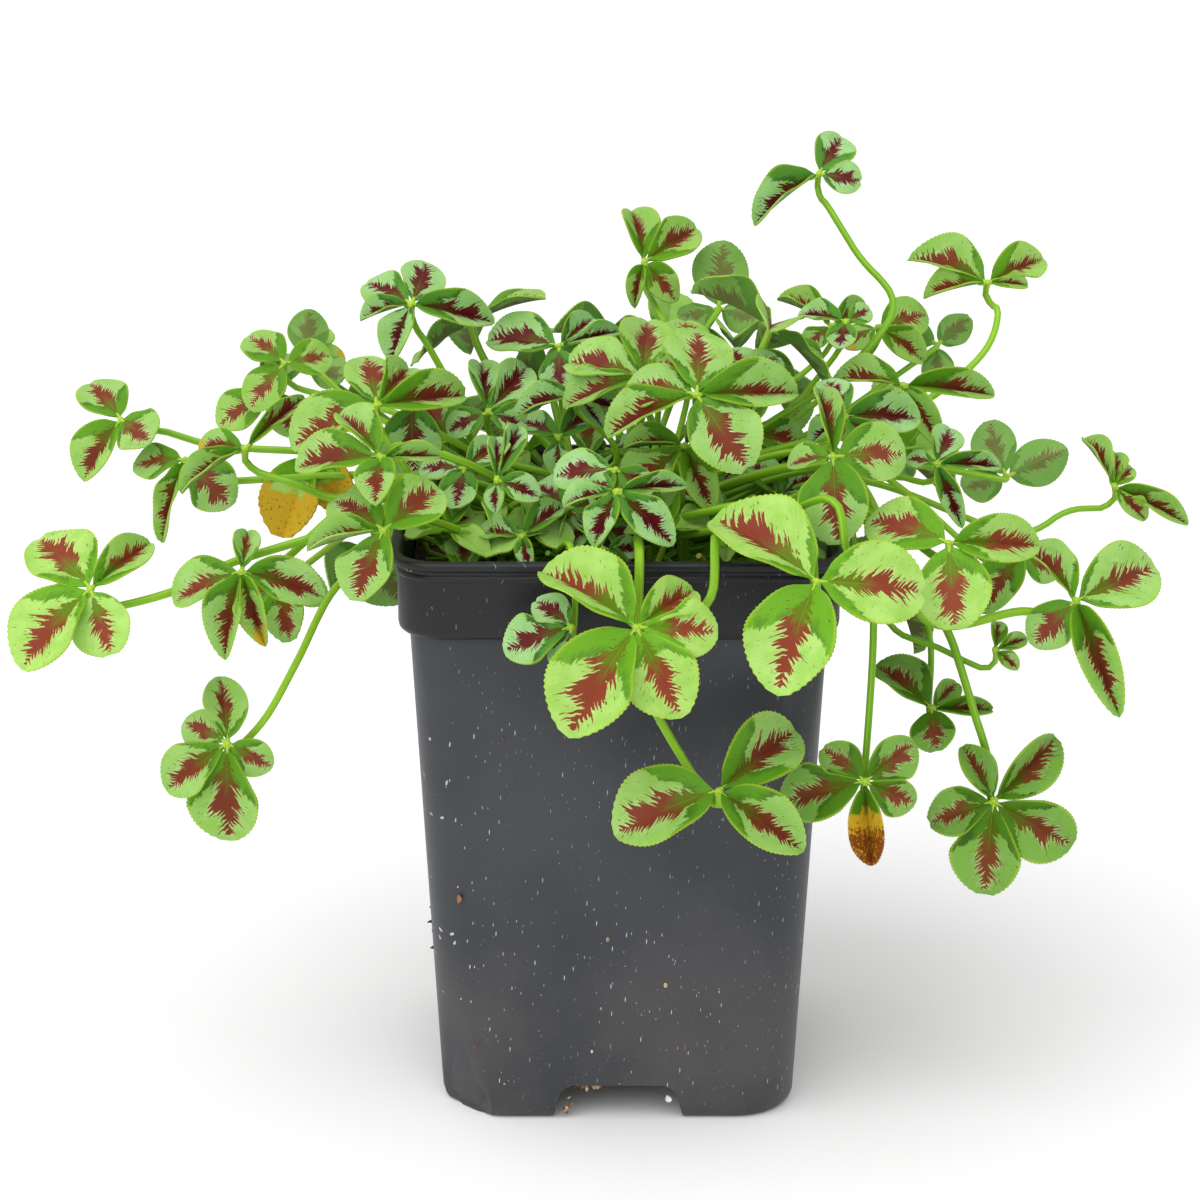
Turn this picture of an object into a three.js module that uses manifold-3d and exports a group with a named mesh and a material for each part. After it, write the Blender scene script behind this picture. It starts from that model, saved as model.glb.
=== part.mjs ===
// Clover with red-feathered leaves in a square nursery pot. Millimetres, +Z up, +Y to the back.
// The origin is on the ground, under the middle of the pot and its spread of leaves.
import * as THREE from "three";
import { mergeVertices } from "three/addons/utils/BufferGeometryUtils.js";
import Module from "manifold-3d";

const wasm = await Module();
wasm.setup();

// Pot
const POT_HEIGHT = 126;
const LIP_HALF = 46.6;
const LIP_THICKNESS = 1.5;
const COLLAR_HALF = 45;
const COLLAR_HEIGHT = 17;
const BODY_TOP_HALF = 42.8;
const BASE_HALF = 37.6;
const BASE_EDGE = 2.6;
const TOP_CORNER = 9;
const BASE_CORNER = 13;
const WALL = 1.2;
const FLOOR = 1.4;
const CHANNEL_FOOT_WIDTH = 30;
const CHANNEL_TOP_WIDTH = 24;
const CHANNEL_HEIGHT = 8;
const DRAIN_RADIUS = 4.5;
const DRAIN_OFFSET = 27;

// Soil
const SOIL_TOP = 113.5;
const SOIL_RELIEF = 1.2;
const SOIL_CELLS = 5;
const GAP = 0.3;

// Stems
const STEM_RADIUS = 1.7;
const STEM_FOOT = 105;
const FIRST_LEAF_HEIGHT = 116.6;
const LEAF_SPACING = 2.6;
const LEAVES_PER_STEM = 5;
const CROWN_RADII = [8, 20];

// Petioles
const PETIOLE_ROOT_RADIUS = 1.15;
const PETIOLE_TIP_RADIUS = 0.95;
const KNOB_RADIUS = 1.3;
const KNOB_HEIGHT = 0.9;
const CORNER_TURN = Math.PI / 3;
const WIDE_GAP = 2.6;
const WIDEST_GAP = 4.2;
const PETIOLE_STEP = 4;
const PETIOLE_TOLERANCE = 0.8;
const NECK = 1.4;

// Leaflets
const BLADE_THICKNESS = 0.7;
const BLADE_RATIO = 0.86;
const BLADE_ARCH = 0.42;
const BLADE_NOTCH = 0.05;
const BLADE_STATIONS = [0.3, 0.62, 0.9];
const SMALL_BLADE_STATIONS = [0.38, 0.8];
const SMALL_BLADE = 12.5;
const BLADE_START = 0.6;
const BLADE_ROLL = 0.2;
const BASE_STATION = 0.4;
const BASE_CLEARANCE = 0.3;
const FOLD_MIN = 0.14;
const FOLD_MAX = 1.12;
const SLOPE_MAX = 0.8;

// Where the plant is seen from: its leaves are placed on a plane that faces this way.
const VIEW_PITCH = THREE.MathUtils.degToRad(17.4);
const VIEW_DISTANCE = 800;
const VIEW_AIM_X = -3.85;
const VIEW_AIM_Z = 103.9;
const ACROSS = new THREE.Vector3(1, 0, 0);
const UPWARD = new THREE.Vector3(0, Math.sin(VIEW_PITCH), Math.cos(VIEW_PITCH));
const TOWARD = new THREE.Vector3(0, -Math.cos(VIEW_PITCH), Math.sin(VIEW_PITCH));

// Leaves at the front and sides. at: across, up and toward the viewer, in mm. leaflets: direction in
// degrees, length and width as seen, and where given the slope toward the viewer. via: across and up
// of points on the petiole, from the leaf down. face: how far the leaf faces right and up.
const FRONT_LEAVES = [
  {
    at: [-106.2, 38.5, 0],
    leaflets: [[126, 12, 12], [235, 14, 9], [330, 7, 12, 1.5]],
    via: [[-98.9, 36.2], [-87, 33]],
  },
  {
    at: [-112.7, 2.4, 42],
    leaflets: [[133, 17, 14], [43, 15.6, 8], [224, 20, 14], [290, 13, 13]],
    via: [[-95, 1.7], [-83.6, 7.4], [-62.3, 14.5]],
  },
  { at: [-92.5, 30, 5], leaflets: [[180, 11, 9], [252, 17, 4.5], [316, 13, 13]] },
  {
    at: [-79.5, 32.5, 20],
    leaflets: [[209, 16, 4], [175, 10, 5], [46, 17, 4]],
    via: [[-69, 24.5], [-59.4, 20.8], [-40, 15.7]],
  },
  { at: [-71.1, 50.4, -10], leaflets: [[137, 11, 13], [14, 10, 9], [228, 11.5, 12]] },
  { at: [-66.5, 51.5, -30], leaflets: [[90, 10, 9], [200, 10, 8], [330, 10, 8]], face: [0, -0.4] },
  { at: [-73, 44, -18], leaflets: [[205, 13, 9], [300, 10, 8], [80, 9, 8]] },
  {
    at: [-44, 61.6, 5],
    leaflets: [[148, 11.5, 11], [71, 10.6, 13], [350, 17.5, 7.5], [192, 11, 4], [247, 12, 7]],
    via: [[-41.5, 54.7], [-34.5, 42.7], [-28.8, 30]],
  },
  {
    at: [-51.6, 41.5, 25],
    leaflets: [[99, 12, 13], [55, 12, 8, -0.7], [10, 19, 8.5], [201, 19, 11]],
    via: [[-47.9, 32.7], [-40.2, 23.1], [-27, 18]],
  },
  { at: [-42.5, 41, 8], leaflets: [[270, 14, 13], [150, 9, 8], [30, 9, 8]] },
  {
    at: [-49.4, 24.9, 40],
    leaflets: [[180, 17.5, 9], [130, 13.6, 7], [3, 11.7, 4], [262, 8, 8, 1.2]],
  },
  {
    at: [-50.8, 12.4, 48],
    leaflets: [[143, 12.7, 11], [42, 14.5, 11], [188, 15.5, 4], [247, 14, 11]],
  },
  {
    at: [-80.6, 6.4, 35],
    leaflets: [[84, 9, 5.5], [199, 14.6, 8.6], [345, 17, 9], [256, 16.5, 8], [288, 14.6, 6]],
  },
  {
    at: [-83.4, -30.6, 30],
    leaflets: [[95, 13.7, 9], [152, 10, 9], [214, 16, 11], [268, 20, 15], [330, 10, 8]],
    via: [[-76.2, -26.8], [-68.5, -14.2], [-60, 1.5], [-50, 11]],
    face: [0, 0.05],
  },
  { at: [-15.5, 53.7, 0], leaflets: [[168, 15.8, 9.5], [42, 10, 6], [18, 14, 4], [270, 9, 11]] },
  { at: [-29.3, 39.7, 5], leaflets: [[98, 12.5, 7], [52, 14, 9], [340, 8, 6], [200, 9, 7]] },
  { at: [-29.8, 27.4, 25], leaflets: [[173, 9, 8.5], [257, 7, 9, 1], [40, 9, 7]] },
  { at: [-25.7, 26, 35], leaflets: [[90, 9.5, 4.7], [68, 13, 5], [265, 6, 4], [340, 9, 6]] },
  {
    at: [-8.6, 42.8, 10],
    leaflets: [[192, 13.5, 5], [345, 9, 6], [310, 8, 4]],
    via: [[-5, 37], [0, 30]],
  },
  {
    at: [5.9, 70.6, -20],
    leaflets: [[98, 13.6, 8], [36, 15, 9.5], [309, 10.4, 7], [255, 9.4, 4]],
    via: [[9.8, 62.2], [11.7, 57.8]],
  },
  { at: [19.6, 57.8, -25], leaflets: [[86, 14, 12.5], [200, 9, 8], [340, 9, 8]], face: [0, -0.4] },
  { at: [19.5, 52, -8], leaflets: [[90, 11.5, 13.5], [190, 9, 7], [350, 8, 7]] },
  { at: [3.8, 47.5, 15], leaflets: [[83, 14, 12], [161, 16.5, 10], [195, 17, 8], [20, 9, 8]] },
  {
    at: [18.5, 42.5, 35],
    leaflets: [[86, 15.5, 14.5], [3, 21, 9.5], [303, 17.3, 15], [167, 14.5, 10], [200, 20, 8]],
  },
  {
    at: [14.3, 33.5, 26],
    leaflets: [[222, 16.5, 9], [293, 14, 7], [60, 5, 4, -1.5], [176, 12.5, 4]],
  },
  { at: [-0.5, 27, 34], leaflets: [[180, 12.5, 10], [330, 8, 6], [235, 8, 5]] },
  {
    at: [-1.8, 18.9, 45],
    leaflets: [[189, 11, 4.5], [158, 6, 3], [244, 11, 6.5], [318, 14.6, 8], [8, 14, 4]],
  },
  {
    at: [3.1, -7.2, 62],
    leaflets: [[143, 23, 12], [35, 14.5, 9, -0.4], [0, 16, 12], [296, 18, 15], [234, 23.5, 17]],
    via: [[15.5, 0.5], [20, 12], [22.5, 15]],
  },
  { at: [-9, -4.5, 57], leaflets: [[195, 14, 10], [140, 9, 8], [260, 9, 8]], face: [0, 0.2] },
  {
    at: [21.3, -40.1, 48],
    leaflets: [[196, 22, 14], [38, 21, 13], [325, 19.6, 11]],
    via: [[8.3, -23.5], [5, -14]],
  },
  { at: [42.3, 1.8, 58], leaflets: [[141, 25, 15], [245, 22, 17], [358, 22, 16.5]] },
  {
    at: [52.6, -38.5, 42],
    leaflets: [[192, 17.5, 12], [139, 10.6, 8], [36, 12.8, 9.5], [274, 17, 7], [335, 11, 8]],
    via: [[51.8, -16.7], [46.6, -10.4]],
    face: [0, 0.05],
  },
  {
    at: [78.4, -41.3, 30],
    leaflets: [[43, 19, 9.5], [328, 19, 13], [263, 19.6, 14.5], [196, 14, 10], [117, 13, 7]],
    via: [[74.6, -27], [70.1, -6.4]],
    face: [0, 0.05],
  },
  {
    at: [69.8, -24.7, 24],
    leaflets: [[136, 15, 9], [270, 7, 12, 1.2], [0, 13, 4], [45, 8, 5]],
    via: [[68.4, -21.4], [66.7, -5.3]],
  },
  { at: [70.7, 12.2, 45], leaflets: [[156, 17, 13], [0, 18.6, 10], [271, 16, 16]] },
  {
    at: [97.9, -0.1, 35],
    leaflets: [[24, 19.4, 14], [221, 12, 14], [126, 15.6, 7], [287, 23, 8]],
    via: [[87, -2.4], [66.5, -4.7]],
  },
  { at: [88, 8, 20], leaflets: [[230, 14, 9], [140, 9, 7], [330, 8, 7]] },
  {
    at: [79.5, -9, 25],
    leaflets: [[20, 7, 3.5], [80, 6, 3.5], [320, 5.5, 3.5]],
    via: [[76.1, -13.3], [66.5, -9.2], [57.7, -5.3]],
  },
  {
    at: [106.1, 24.2, -8],
    leaflets: [[115, 13, 5], [80, 8, 4], [45, 6, 4], [335, 17, 5], [312, 9, 5]],
    via: [[96, 19], [86.8, 14.4]],
  },
  { at: [82.9, 26.3, -10], leaflets: [[110, 12, 14], [25, 14, 10], [200, 10, 8]], face: [0, -0.3] },
  {
    at: [78.9, 67.8, -10],
    leaflets: [[154, 18, 8.5], [27, 14.4, 9], [187, 13.7, 5], [0, 8.6, 4]],
    via: [[80.8, 62.6], [79.1, 56], [70.1, 48.1]],
  },
  {
    at: [42.9, 91.1, -5],
    leaflets: [[60, 11, 9], [213, 17, 6], [352, 9, 9]],
    via: [[44.1, 85.1], [50.7, 74.2], [57.8, 63.3]],
  },
  { at: [54, 45.3, 0], leaflets: [[357, 19.5, 6.5], [300, 14, 6], [170, 15, 6]] },
  { at: [45.8, 58.6, -20], leaflets: [[145, 13.7, 4.5], [35, 9.5, 6], [215, 7, 6]] },
  { at: [55.6, 58.4, -12], leaflets: [[18, 11.6, 9.5], [205, 8, 6], [325, 12, 7]] },
  { at: [68.2, 54.5, -22], leaflets: [[150, 9, 7], [40, 9, 7], [270, 8, 7]], face: [0, -0.4] },
  { at: [49, 38.2, 20], leaflets: [[108, 9, 7.5], [1, 16, 9], [318, 12, 7], [215, 9, 4]] },
  { at: [43.6, 26.2, 38], leaflets: [[97, 16, 5.5], [5, 15, 14], [270, 16.5, 14], [185, 9, 5]] },
  { at: [66.5, 29.3, 20], leaflets: [[65, 9, 7], [0, 13.5, 4], [165, 6, 4], [290, 13, 4.5]] },
  { at: [46, 54.5, -2], leaflets: [[165, 10, 5], [250, 5, 9, 1.2], [30, 6, 5]] },
  { at: [31.5, 49.5, 5], leaflets: [[45, 9, 8], [110, 9, 8], [200, 8, 6]] },
];

// Leaves at the back, by rule: rows of how many, their reach from the middle, their height and how
// far they face up.
const BACK_ROWS = [
  { count: 5, reach: 44, height: 152, lift: 0.9 },
  { count: 5, reach: 69.5, height: 132, lift: 0.9 },
  { count: 4, reach: 71.5, height: 100, lift: 0.3 },
];
const BACK_FROM = THREE.MathUtils.degToRad(18);
const BACK_TO = THREE.MathUtils.degToRad(162);
const BACK_SEED = 7;

// Clearing of leaves from each other, from the pot and from the soil.
const SETTLE_ROUNDS = 240;
const NEIGHBOUR_ROUNDS = 12;
const NEIGHBOUR_REACH = 5;
const CLEAR_PETIOLE = 2.1;
const CLEAR_BLADE = 2.5;
const NEAR_ROOT = 4;
const EASE_EARLY = 0.25;
const EASE_LATE = 0.8;
const POT_CLEARANCE = 1.9;
const RIM_CLEARANCE = 3;

// A seeded draw between 0 and 1.
function makeRandom(seed) {
  let state = seed >>> 0;
  return () => {
    state = (state + 0x6d2b79f5) >>> 0;
    let t = state;
    t = Math.imul(t ^ (t >>> 15), t | 1);
    t ^= t + Math.imul(t ^ (t >>> 7), t | 61);
    return ((t ^ (t >>> 14)) >>> 0) / 4294967296;
  };
}

// A direction given across, up and toward the viewer, in the part's frame.
function turned(across, up, toward) {
  return new THREE.Vector3()
    .addScaledVector(ACROSS, across)
    .addScaledVector(UPWARD, up)
    .addScaledVector(TOWARD, toward);
}

// The point that is seen at (across, up) when it lies so far toward the viewer.
function seenAt(across, up, toward) {
  const shrink = 1 - toward / VIEW_DISTANCE;
  const place = turned(VIEW_AIM_X + (across - VIEW_AIM_X) * shrink, up * shrink, toward);
  place.z += VIEW_AIM_Z;
  return place;
}

// A leaflet's half width along it, as a share of the widest.
function outline(s) {
  return Math.sin(Math.PI * s ** 1.4) ** 0.62;
}

// A leaflet from its true direction and length, and the width that it is folded to.
function makeLeaflet(direction, facing, length, width) {
  const along = direction.clone().normalize();
  const normal = facing.clone().addScaledVector(along, -facing.dot(along)).normalize();
  normal.applyAxisAngle(along, BLADE_ROLL);
  const side = new THREE.Vector3().crossVectors(normal, along);
  const full = BLADE_RATIO * length;
  const open = THREE.MathUtils.clamp(width / full, Math.cos(FOLD_MAX), Math.cos(FOLD_MIN));
  const fold = Math.acos(open);
  return { along, normal, side, length, width: Math.min(full, width / open), fold };
}

// A front leaf from its row. What looks narrow is folded along its midrib.
function frontLeaf(row) {
  const [faceRight, faceUp] = row.face ?? [0, 0.45];
  const faceToward = Math.sqrt(1 - faceRight ** 2 - faceUp ** 2) * (faceUp < 0 ? -1 : 1);
  const facing = turned(faceRight, faceUp, faceToward);
  const leaflets = row.leaflets.map(([degrees, seenLength, seenWidth, slope]) => {
    const angle = THREE.MathUtils.degToRad(degrees);
    const cos = Math.cos(angle);
    const sin = Math.sin(angle);
    const lie = -(faceRight * cos + faceUp * sin) / faceToward;
    const rise = slope ?? THREE.MathUtils.clamp(lie, -SLOPE_MAX, SLOPE_MAX);
    const direction = turned(cos, sin, rise);
    const length = seenLength * direction.length();
    const across = turned(-sin, cos, 0);
    const leaflet = makeLeaflet(direction, facing, length, seenWidth);
    const shown = Math.max(0.6, Math.abs(leaflet.side.dot(across)));
    return makeLeaflet(direction, facing, length, seenWidth / shown);
  });
  const head = seenAt(...row.at);
  return { head, facing, leaflets, via: row.via ?? [], toward: row.at[2] };
}

// The leaves behind, where nothing shows from the front: spread evenly, facing out and up.
function backLeaves() {
  const random = makeRandom(BACK_SEED);
  const leaves = [];
  for (const { count, reach, height, lift } of BACK_ROWS) {
    for (let i = 0; i < count; i++) {
      const turn = BACK_FROM + ((BACK_TO - BACK_FROM) * (i + 0.3 + 0.4 * random())) / count;
      const out = new THREE.Vector3(Math.cos(turn), Math.sin(turn), 0);
      const head = out.clone().multiplyScalar(reach + 8 * (random() - 0.5));
      head.z = height + 14 * (random() - 0.5);
      const facing = out.clone().multiplyScalar(0.5 + 0.4 * random());
      facing.z = lift;
      facing.normalize();
      const first = new THREE.Vector3().crossVectors(facing, out).normalize();
      const second = new THREE.Vector3().crossVectors(facing, first);
      const total = 3 + Math.floor(random() * 1.99);
      const start = random() * Math.PI * 2;
      const leaflets = [];
      for (let k = 0; k < total; k++) {
        const angle = start + (k * 2 * Math.PI) / total;
        const direction = first
          .clone()
          .multiplyScalar(Math.cos(angle))
          .addScaledVector(second, Math.sin(angle));
        const length = 15 + 5 * random();
        const width = length * (0.55 + 0.3 * random());
        leaflets.push(makeLeaflet(direction, facing, length, width));
      }
      leaves.push({ head, facing, leaflets, via: [] });
    }
  }
  return leaves;
}

// How far a place lies from the middle of the pot, across its sides.
function squareReach(place) {
  return Math.max(Math.abs(place.x), Math.abs(place.y));
}

// The point of a petiole that is seen at (across, up), brought forward until it clears the pot.
function viaPoint(across, up, toward) {
  let place = seenAt(across, up, toward);
  while (squareReach(place) < LIP_HALF + POT_CLEARANCE && place.z < POT_HEIGHT + POT_CLEARANCE) {
    toward += 1;
    place = seenAt(across, up, toward);
  }
  return place;
}

// The petiole's points, from the top of its stem over the rim to the leaf.
function petiolePath(leaf, root, rank) {
  const below = leaf.facing.clone().multiplyScalar(-4);
  below.z -= 2;
  const outward = leaf.head.clone().sub(root).setZ(0);
  const rise = root.clone().addScaledVector(outward.clone().normalize(), 5);
  rise.z += 1 + 0.4 * rank;
  const vias = leaf.via.map(([across, up], i) => {
    const share = (i + 1) / (leaf.via.length + 1);
    return viaPoint(across, up, leaf.toward * (1 - 0.45 * share));
  });
  const points = [root.clone(), rise, ...vias.reverse(), leaf.head.clone().add(below), leaf.head.clone()];
  const outside = points.findIndex((place) => squareReach(place) > LIP_HALF);
  if (outside > 0) {
    const [from, to] = [points[outside - 1], points[outside]];
    const share = (LIP_HALF - squareReach(from)) / (squareReach(to) - squareReach(from));
    const over = from.clone().lerp(to, share);
    const height = POT_HEIGHT + RIM_CLEARANCE + 1 + 2.5 * rank;
    if (over.z < height) points.splice(outside, 0, over.setZ(height));
  }
  const curve = new THREE.CatmullRomCurve3(points, false, "centripetal");
  return curve.getSpacedPoints(Math.max(4, Math.round(curve.getLength() / PETIOLE_STEP)));
}

// Points on a leaflet that keep others off it: along it and across it, as shares.
const FEELERS = [
  [0.15, 0],
  [0.42, 0],
  [0.42, 0.6],
  [0.42, -0.6],
  [0.72, 0],
  [0.72, 0.62],
  [0.72, -0.62],
  [0.97, 0],
];

// The half width that the next leaflet leaves for the base of this one.
function baseRoom(leaflet, s, reach, t) {
  const spacing = t > 0 ? leaflet.roomAfter : leaflet.roomBefore;
  if (t === 0 || s > BASE_STATION || spacing > 1.5) return Infinity;
  return Math.max(0.3, reach * Math.tan(spacing / 2) - BASE_CLEARANCE) / Math.cos(leaflet.fold);
}

// A place on a leaflet, s along it and t across it, without its thickness.
function bladePoint(head, leaflet, s, t) {
  const reach = BLADE_START + leaflet.length * s * (1 - (BLADE_ARCH * s) ** 2 / 6);
  const drop = leaflet.length * BLADE_ARCH * s * s * 0.5;
  const half = Math.min(0.5 * leaflet.width * outline(s), baseRoom(leaflet, s, reach, t));
  return head
    .clone()
    .addScaledVector(leaflet.along, reach)
    .addScaledVector(leaflet.side, t * half * Math.cos(leaflet.fold))
    .addScaledVector(leaflet.normal, Math.abs(t) * half * Math.sin(leaflet.fold) - drop);
}

// The push that brings a place clear of the pot's wall and of the soil.
function potPush(place, clear) {
  const push = new THREE.Vector3();
  const reach = squareReach(place);
  const inner = COLLAR_HALF - WALL - clear;
  if (reach < inner) {
    push.z = Math.max(0, SOIL_TOP + SOIL_RELIEF + clear - place.z);
    return push;
  }
  const outer = LIP_HALF + clear;
  if (reach >= outer || place.z >= POT_HEIGHT + clear) return push;
  if (place.z > POT_HEIGHT - 7 && reach < outer - 1) {
    push.z = POT_HEIGHT + clear - place.z;
  } else if (Math.abs(place.x) > Math.abs(place.y)) {
    push.x = Math.sign(place.x) * (outer - reach);
  } else {
    push.y = Math.sign(place.y) * (outer - reach);
  }
  return push;
}

// Puts a leaf's leaflets in order round its petiole, and notes the angle to the next one on each side.
function orderLeaflets(leaf) {
  const first = new THREE.Vector3().crossVectors(leaf.facing, new THREE.Vector3(0.3, 0.1, 1)).normalize();
  const second = new THREE.Vector3().crossVectors(leaf.facing, first);
  leaf.axes = [first, second];
  for (const leaflet of leaf.leaflets) {
    leaflet.heading = Math.atan2(leaflet.along.dot(second), leaflet.along.dot(first));
  }
  leaf.leaflets.sort((one, two) => one.heading - two.heading);
  leaf.leaflets.forEach((leaflet, k) => {
    const next = leaf.leaflets[(k + 1) % leaf.leaflets.length];
    const room = (next.heading - leaflet.heading + 4 * Math.PI) % (2 * Math.PI);
    leaflet.roomAfter = room;
    next.roomBefore = room;
  });
}

// Whether one of two points of a leaf is on its petiole, away from the neck, and the other on a leaflet.
function meetsOwnBlade(one, two) {
  return Math.min(one.index, two.index) < 0 && Math.max(one.index, two.index) < one.leaf.path.length - 3
    && Math.max(one.index, two.index) > 0;
}

// Pairs of points on different leaves that are near each other. Petioles of one stem may meet at it.
function neighbours(feelers) {
  const pairs = [];
  for (let i = 0; i < feelers.length; i++) {
    const one = feelers[i];
    for (let j = i + 1; j < feelers.length; j++) {
      const two = feelers[j];
      if (one.leaf === two.leaf && !meetsOwnBlade(one, two)) continue;
      const reach = one.clear + two.clear + NEIGHBOUR_REACH;
      if (one.place.distanceToSquared(two.place) > reach * reach) continue;
      const nearRoot = one.index > 0 && two.index > 0 && one.index < NEAR_ROOT && two.index < NEAR_ROOT;
      if (nearRoot && one.leaf.stem === two.leaf.stem) continue;
      pairs.push([one, two]);
    }
  }
  return pairs;
}

// Lifts a petiole where it passes the pot's wall lower than the rim.
function liftOverRim(feelers) {
  for (let i = 0; i + 1 < feelers.length; i++) {
    const [one, two] = [feelers[i], feelers[i + 1]];
    if (one.leaf !== two.leaf || one.index < 0 || two.index < 0) continue;
    for (const wall of [COLLAR_HALF - WALL, LIP_HALF]) {
      const [from, to] = [squareReach(one.place) - wall, squareReach(two.place) - wall];
      if (from * to >= 0) continue;
      const height = THREE.MathUtils.lerp(one.place.z, two.place.z, from / (from - to));
      const lift = POT_HEIGHT + RIM_CLEARANCE - height;
      if (lift <= 0) continue;
      one.push.z += lift;
      two.push.z += lift;
    }
  }
}

// Moves the leaves apart where they would cross: a head moves with its leaflets, mostly toward or
// away from the viewer, and a petiole bends.
function settle(leaves) {
  const feelers = [];
  for (const leaf of leaves) {
    leaf.shift = new THREE.Vector3();
    leaf.bends = leaf.path.map(() => new THREE.Vector3());
    leaf.feelers = [];
    leaf.path.forEach((rest, index) => {
      if (index) leaf.feelers.push({ leaf, index, rest, clear: CLEAR_PETIOLE });
    });
    for (const leaflet of leaf.leaflets) {
      for (const [s, t] of FEELERS) {
        const rest = bladePoint(leaf.head, leaflet, s, t);
        leaf.feelers.push({ leaf, index: -1, rest, clear: CLEAR_BLADE });
      }
    }
    feelers.push(...leaf.feelers);
  }
  let pairs = [];
  const gap = new THREE.Vector3();
  for (let round = 0; round < SETTLE_ROUNDS; round++) {
    for (const feeler of feelers) {
      const { leaf, index, rest } = feeler;
      feeler.place = rest.clone().add(index < 0 ? leaf.shift : leaf.bends[index]);
      feeler.push = potPush(feeler.place, index < 0 ? POT_CLEARANCE : RIM_CLEARANCE);
    }
    if (round % NEIGHBOUR_ROUNDS === 0) pairs = neighbours(feelers);
    for (const [one, two] of pairs) {
      gap.subVectors(one.place, two.place);
      const apart = gap.length();
      const need = one.clear + two.clear;
      if (apart >= need) continue;
      gap.multiplyScalar((need - apart) / (2 * Math.max(apart, 0.2)));
      const own = one.leaf === two.leaf;
      if (!own || one.index > 0) one.push.add(gap);
      if (!own || two.index > 0) two.push.sub(gap);
    }
    liftOverRim(feelers);
    const sideways = round < 0.6 * SETTLE_ROUNDS ? EASE_EARLY : EASE_LATE;
    for (const leaf of leaves) {
      const total = new THREE.Vector3();
      let count = 0;
      const end = leaf.path.length - 1;
      for (const feeler of leaf.feelers) {
        if (feeler.index > 0 && feeler.index < end - 1) {
          leaf.bends[feeler.index].addScaledVector(feeler.push, 0.5);
        } else if (feeler.push.lengthSq() > 0) {
          total.add(feeler.push);
          count++;
        }
      }
      if (count) {
        const move = turned(sideways * total.dot(ACROSS), sideways * total.dot(UPWARD), total.dot(TOWARD));
        leaf.shift.addScaledVector(move, 0.5 / Math.sqrt(count));
      }
      leaf.bends[end - 1].copy(leaf.shift);
      leaf.bends[end].copy(leaf.shift);
      leaf.bends = leaf.bends.map((bend, k) => {
        if (k === 0 || k >= end - 1) return bend.clone();
        const middle = leaf.bends[k - 1].clone().add(leaf.bends[k + 1]).multiplyScalar(0.5);
        return bend.clone().lerp(middle, 0.3);
      });
    }
  }
  for (const leaf of leaves) {
    leaf.head.add(leaf.shift);
    leaf.path.forEach((point, k) => point.add(leaf.bends[k]));
  }
}

// All leaves, shared out to the stems by their direction from the middle, then settled.
function growPlant() {
  const leaves = [...FRONT_LEAVES.map(frontLeaf), ...backLeaves()];
  leaves.forEach(orderLeaflets);
  const heading = (leaf) => Math.atan2(leaf.head.y, leaf.head.x);
  leaves.sort((one, two) => heading(one) - heading(two));
  const stems = [];
  for (let i = 0; i < leaves.length; i += LEAVES_PER_STEM) {
    const own = leaves.slice(i, i + LEAVES_PER_STEM);
    const turn = heading(own[Math.floor(own.length / 2)]);
    const radius = CROWN_RADII[stems.length % CROWN_RADII.length];
    const foot = new THREE.Vector3(Math.cos(turn) * radius, Math.sin(turn) * radius, STEM_FOOT);
    own.sort((one, two) => one.head.z - two.head.z);
    own.forEach((leaf, rank) => {
      const root = foot.clone().setZ(FIRST_LEAF_HEIGHT + LEAF_SPACING * rank);
      leaf.stem = stems.length;
      leaf.path = petiolePath(leaf, root, rank);
    });
    stems.push({ foot, leaves: own });
  }
  settle(leaves);
  return stems;
}

// Solid from a list of points and triangles, facing out.
function solidFrom(points, triangles) {
  const make = (flip) => {
    const vertProperties = new Float32Array(points.flatMap((p) => [p.x, p.y, p.z]));
    const triVerts = new Uint32Array(triangles.flatMap(([a, b, c]) => (flip ? [a, c, b] : [a, b, c])));
    return new wasm.Manifold(new wasm.Mesh({ numProp: 3, vertProperties, triVerts }));
  };
  const solid = make(false);
  return solid.volume() < 0 ? make(true) : solid;
}

// Solid from a three.js geometry.
function solidFromGeometry(geometry) {
  const bare = geometry.clone();
  bare.deleteAttribute("normal");
  bare.deleteAttribute("uv");
  const merged = mergeVertices(bare, 1e-3);
  return new wasm.Manifold(
    new wasm.Mesh({
      numProp: 3,
      vertProperties: merged.getAttribute("position").array,
      triVerts: new Uint32Array(merged.index.array),
    }),
  );
}

// Solid between rings of points, closed by a flat fan at each end.
function loft(rings) {
  const count = rings[0].length;
  const triangles = [];
  for (let r = 0; r + 1 < rings.length; r++) {
    for (let k = 0; k < count; k++) {
      const next = (k + 1) % count;
      const low = r * count;
      const high = low + count;
      triangles.push([low + k, low + next, high + next], [low + k, high + next, high + k]);
    }
  }
  const last = (rings.length - 1) * count;
  for (let k = 1; k + 1 < count; k++) {
    triangles.push([0, k + 1, k], [last, last + k, last + k + 1]);
  }
  return solidFrom(rings.flat(), triangles);
}

// A square ring with round corners, at one height.
function squareRing(half, corner, z) {
  const steps = 4;
  const ring = [];
  for (let quarter = 0; quarter < 4; quarter++) {
    const start = (quarter * Math.PI) / 2;
    const x = (quarter === 0 || quarter === 3 ? 1 : -1) * (half - corner);
    const y = (quarter < 2 ? 1 : -1) * (half - corner);
    for (let k = 0; k <= steps; k++) {
      const angle = start + (k * Math.PI) / (2 * steps);
      ring.push(new THREE.Vector3(x + corner * Math.cos(angle), y + corner * Math.sin(angle), z));
    }
  }
  return ring;
}

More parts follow.
